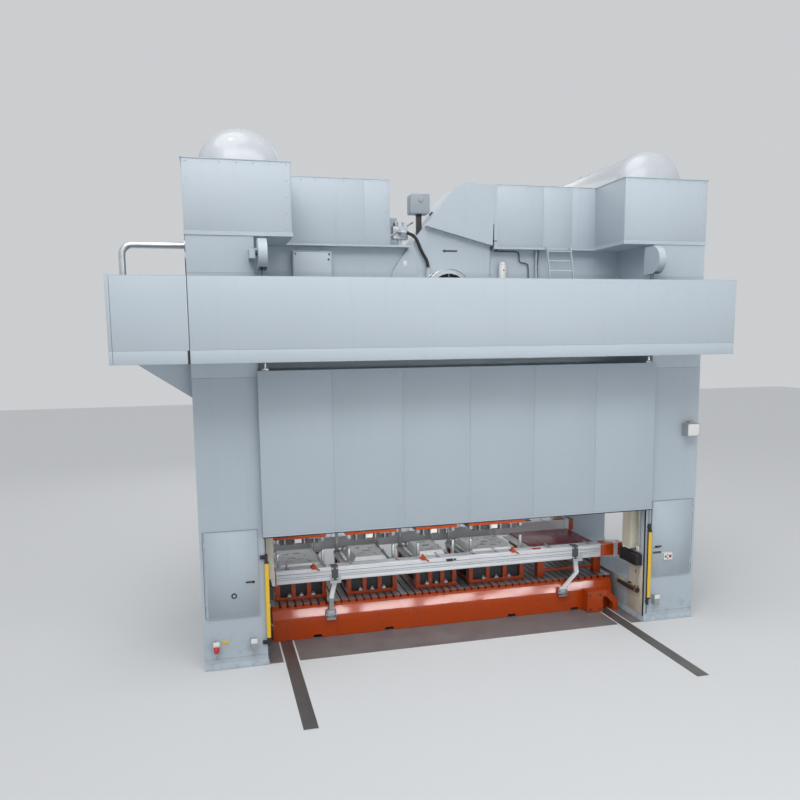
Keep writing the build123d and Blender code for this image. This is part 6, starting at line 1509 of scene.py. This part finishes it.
# %% Ribs and fan cowl of the drive motor
rib_reach, rib_half_height, rib_half_width = 0.335, 0.012, 0.0025
foot_line = -0.75  # below this share of the motor's radius its feet take the place of the ribs
ribs = Shape()
for degrees in range(0, 360, 8):
    angle = math.radians(degrees)
    if math.sin(angle) > foot_line:
        x, z = motor_x + rib_reach * math.cos(angle), motor_z + rib_reach * math.sin(angle)
        ribs.box(x - rib_half_height, x + rib_half_height, -0.08, 0.38, z - rib_half_width,
                 z + rib_half_width, turn=Matrix.Rotation(-angle, 4, "Y"))
ribs.turned((motor_x, 0.40, motor_z), (0, 1, 0),
            [(0, 0.331), (0.006, 0.336), (0.130, 0.336), (0.150, 0.325), (0.158, 0.300), (0.158, 0.270),
             (0.0, 0.270)], 56, hollow=True)
ribs.piece("motor_ribs_and_cowl", "press_frame", machine_green)
grille = Shape()
grille_middle, grille_reach = Vector((motor_x, 0.562, motor_z)), 0.268
for radius in (0.06, 0.11, 0.16, 0.21, 0.26):
    grille.turned(grille_middle, (0, 1, 0),
                  [(0, radius), (0.003, radius), (0.003, radius + 0.010), (0, radius + 0.010)], 48,
                  hollow=True)
for degrees in range(0, 180, 45):
    spoke = grille_reach * Vector((math.cos(math.radians(degrees)), 0, math.sin(math.radians(degrees))))
    grille.rod(grille_middle - spoke, grille_middle + spoke, 0.004, 8)
grille.piece("motor_grille", "press_frame", dark_paint)
terminal = Shape().box(motor_x - 0.13, motor_x + 0.13, 0.00, 0.26, motor_z + 0.31, motor_z + 0.40, soft=0.008)
terminal.piece("motor_terminal_box", "press_frame", machine_green)
print("motor done")

# %% [markdown]
# ## Air hose
# One black hose runs from an elbow on the valves over the front of the hood to the clutch guard. It hangs
# stiffly in one bend. A NURBS curve through the route's points gives the smooth line of a real hose, and the
# curve's own bevel gives it its thickness.

# %% The hose as one curve
hose_route = ((-0.8506, -0.920, 7.8967), (-0.7696, -0.920, 7.8847), (-0.6336, -0.920, 7.8087),
              (-0.5186, -0.920, 7.5257), (-0.3930, -0.920, 7.3450), (-0.3930, -0.920, 7.2150))
hose_data = bpy.data.curves.new("air_hose_line", "CURVE")
hose_data.dimensions = "3D"
spline = hose_data.splines.new("NURBS")
spline.points.add(len(hose_route) - 1)
for point, (x, y, z) in zip(spline.points, hose_route):
    point.co = (x, y, z + shop_floor, 1)
spline.order_u = 3
spline.use_endpoint_u = True
spline.resolution_u = 16
hose_diameter = 0.064
hose_data.bevel_depth = hose_diameter / 2
hose_data.bevel_resolution = 6
hose_data.use_fill_caps = True
hose = bpy.data.objects.new("black_air_hose", hose_data)
bpy.context.collection.objects.link(hose)
hose_data.materials.append(black_rubber)
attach(hose, "press_frame")
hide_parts("air_hose")
clips = Shape()
clip_profile = [(0.004, 0.033), (0.005, 0.037), (0.019, 0.037), (0.020, 0.033)]
for end_point, direction in ((hose_route[0], (0.9892, 0, -0.1466)), (hose_route[-1], (0, 0, 1))):
    clips.turned(end_point, direction, clip_profile, 28)
clips.piece("hose_clips", "press_frame", steel)
print("hose points", len(hose_route))

# %% [markdown]
# ## Floor, light and camera
# A press like this stands with its bed in a pit, so the floor passes just under the rails of the bolster.
# Large soft lamps, as in a studio, keep the shadows gentle, and a row of low strips draws the bright line on
# the bolster's glossy chamfer. A thin lamp under the door lights the dies. The camera stands a little left
# of the middle, about six metres above the floor, and its shift stands for the cropping of the photograph.

# %% Floor and backdrop


def stage_sheet(name, corners, material):
    data = bpy.data.meshes.new(name)
    data.from_pydata(corners, [], [tuple(range(len(corners)))])
    made = bpy.data.objects.new(name, data)
    bpy.context.collection.objects.link(made)
    made.data.materials.append(material)
    return made


def stage_finish(name, colour):
    material = bpy.data.materials.new(name)
    material.use_nodes = True
    tree = material.node_tree
    shader = tree.nodes["Principled BSDF"]
    shader.inputs["Base Color"].default_value = (*colour, 1)
    shader.inputs["Roughness"].default_value = 0.85
    shader.inputs["Specular IOR Level"].default_value = 0.2
    return material


floor_finish = stage_finish("studio_floor", (0.66, 0.665, 0.67))
floor_reach, floor_height = 60.0, shop_floor - 0.006
floor_corners = [(floor_reach * x, floor_reach * y, floor_height) for x, y in around]
stage_sheet("studio_floor", floor_corners, floor_finish)
print("floor at", floor_height)

# %% Camera
photo_side = 800
focal_pixels, middle_column, middle_row = 767.96, 400.2, 440.4
camera_place = (-4.768, -15.6886, 8.6246)
camera_yaw, camera_pitch, camera_roll = 14.31, 7.42, -0.696
camera_data = bpy.data.cameras.new("photo_camera")
camera = bpy.data.objects.new("photo_camera", camera_data)
bpy.context.collection.objects.link(camera)
camera_data.sensor_width = 36.0
camera_data.lens = focal_pixels / photo_side * camera_data.sensor_width
camera_data.shift_x = (photo_side / 2 - middle_column) / photo_side
camera_data.shift_y = (middle_row - photo_side / 2) / photo_side
camera_data.clip_end = 400.0
heading = Matrix.Rotation(math.radians(-camera_yaw), 4, "Z")
tilt = Matrix.Rotation(math.radians(90 - camera_pitch), 4, "X")
roll = Matrix.Rotation(math.radians(camera_roll), 4, "Z")
camera.matrix_world = Matrix.Translation(camera_place) @ heading @ tilt @ roll
bpy.context.scene.camera = camera
print("lens", round(camera_data.lens, 2))

# %% Lamps and world


def lamp(name, place, target, width, height, power, colour=(1, 1, 1)):
    data = bpy.data.lights.new(name, "AREA")
    data.shape = "RECTANGLE"
    data.size, data.size_y = width, height
    data.energy = power
    data.color = colour
    made = bpy.data.objects.new(name, data)
    bpy.context.collection.objects.link(made)
    made.location = place
    made.rotation_euler = (Vector(target) - Vector(place)).to_track_quat("-Z", "Y").to_euler()
    return made


lamp("key", (-9, -17, 19), (0, 0, 9), 12, 10, 430, (1.0, 0.99, 0.97))
lamp("fill", (14, -15, 13), (0, 0, 8), 12, 10, 110, (0.95, 0.975, 1.0))
lamp("crown light", (-1, -11, 17.5), (0, -1, 10.6), 14, 4, 520)
overhead_data = bpy.data.lights.new("overhead", "SUN")
overhead_data.energy = 1.35
overhead_data.angle = math.radians(50)
overhead = bpy.data.objects.new("overhead", overhead_data)
bpy.context.collection.objects.link(overhead)
overhead.rotation_euler = Vector((0.18, 0.34, -0.92)).to_track_quat("-Z", "Y").to_euler()
lamp("back", (0, 18, 16), (0, 0, 8), 16, 10, 500)
for number in range(5):
    lamp("low strip " + str(number + 1), (-0.6 + 2.6 * number, -15.6, 8.15), (0.5, -1.1, 3.3), 2.1, 0.13, 48)
for number, place in enumerate(((-5.8, -6.7, 22.5), (2.6, -3.9, 21.6))):
    lamp("ceiling lamp " + str(number + 1), place, (-3.0, -1.6, 11.5), 0.7, 0.7, 30)
die_light = lamp("die space", (0, -2.00, 5.14), (0, -0.30, 4.05), 5.6, 0.10, 34)
die_light.visible_camera = False
world = bpy.data.worlds.new("studio_world")
bpy.context.scene.world = world
world.use_nodes = True
world_tree = world.node_tree
room = world_tree.nodes["Background"]
room.inputs["Color"].default_value = (0.73, 0.77, 0.82, 1)
room.inputs["Strength"].default_value = 0.42
seen_sky = node(world_tree, "ShaderNodeBackground", Color=(0.60, 0.615, 0.63, 1), Strength=1.0)
rays = node(world_tree, "ShaderNodeLightPath").outputs
seen_or_mirrored = sums(world_tree, "ADD", rays["Is Camera Ray"], rays["Is Glossy Ray"])
sees_backdrop = sums(world_tree, "ADD", seen_or_mirrored, rays["Is Transmission Ray"], clamp=True)
joined = node(world_tree, "ShaderNodeMixShader", at0=sees_backdrop, at1=room.outputs[0],
              at2=seen_sky.outputs[0])
world_tree.links.new(joined.outputs[0], world_tree.nodes["World Output"].inputs["Surface"])
bpy.context.scene.view_settings.view_transform = "Standard"
print("lamps", len(bpy.data.lights))
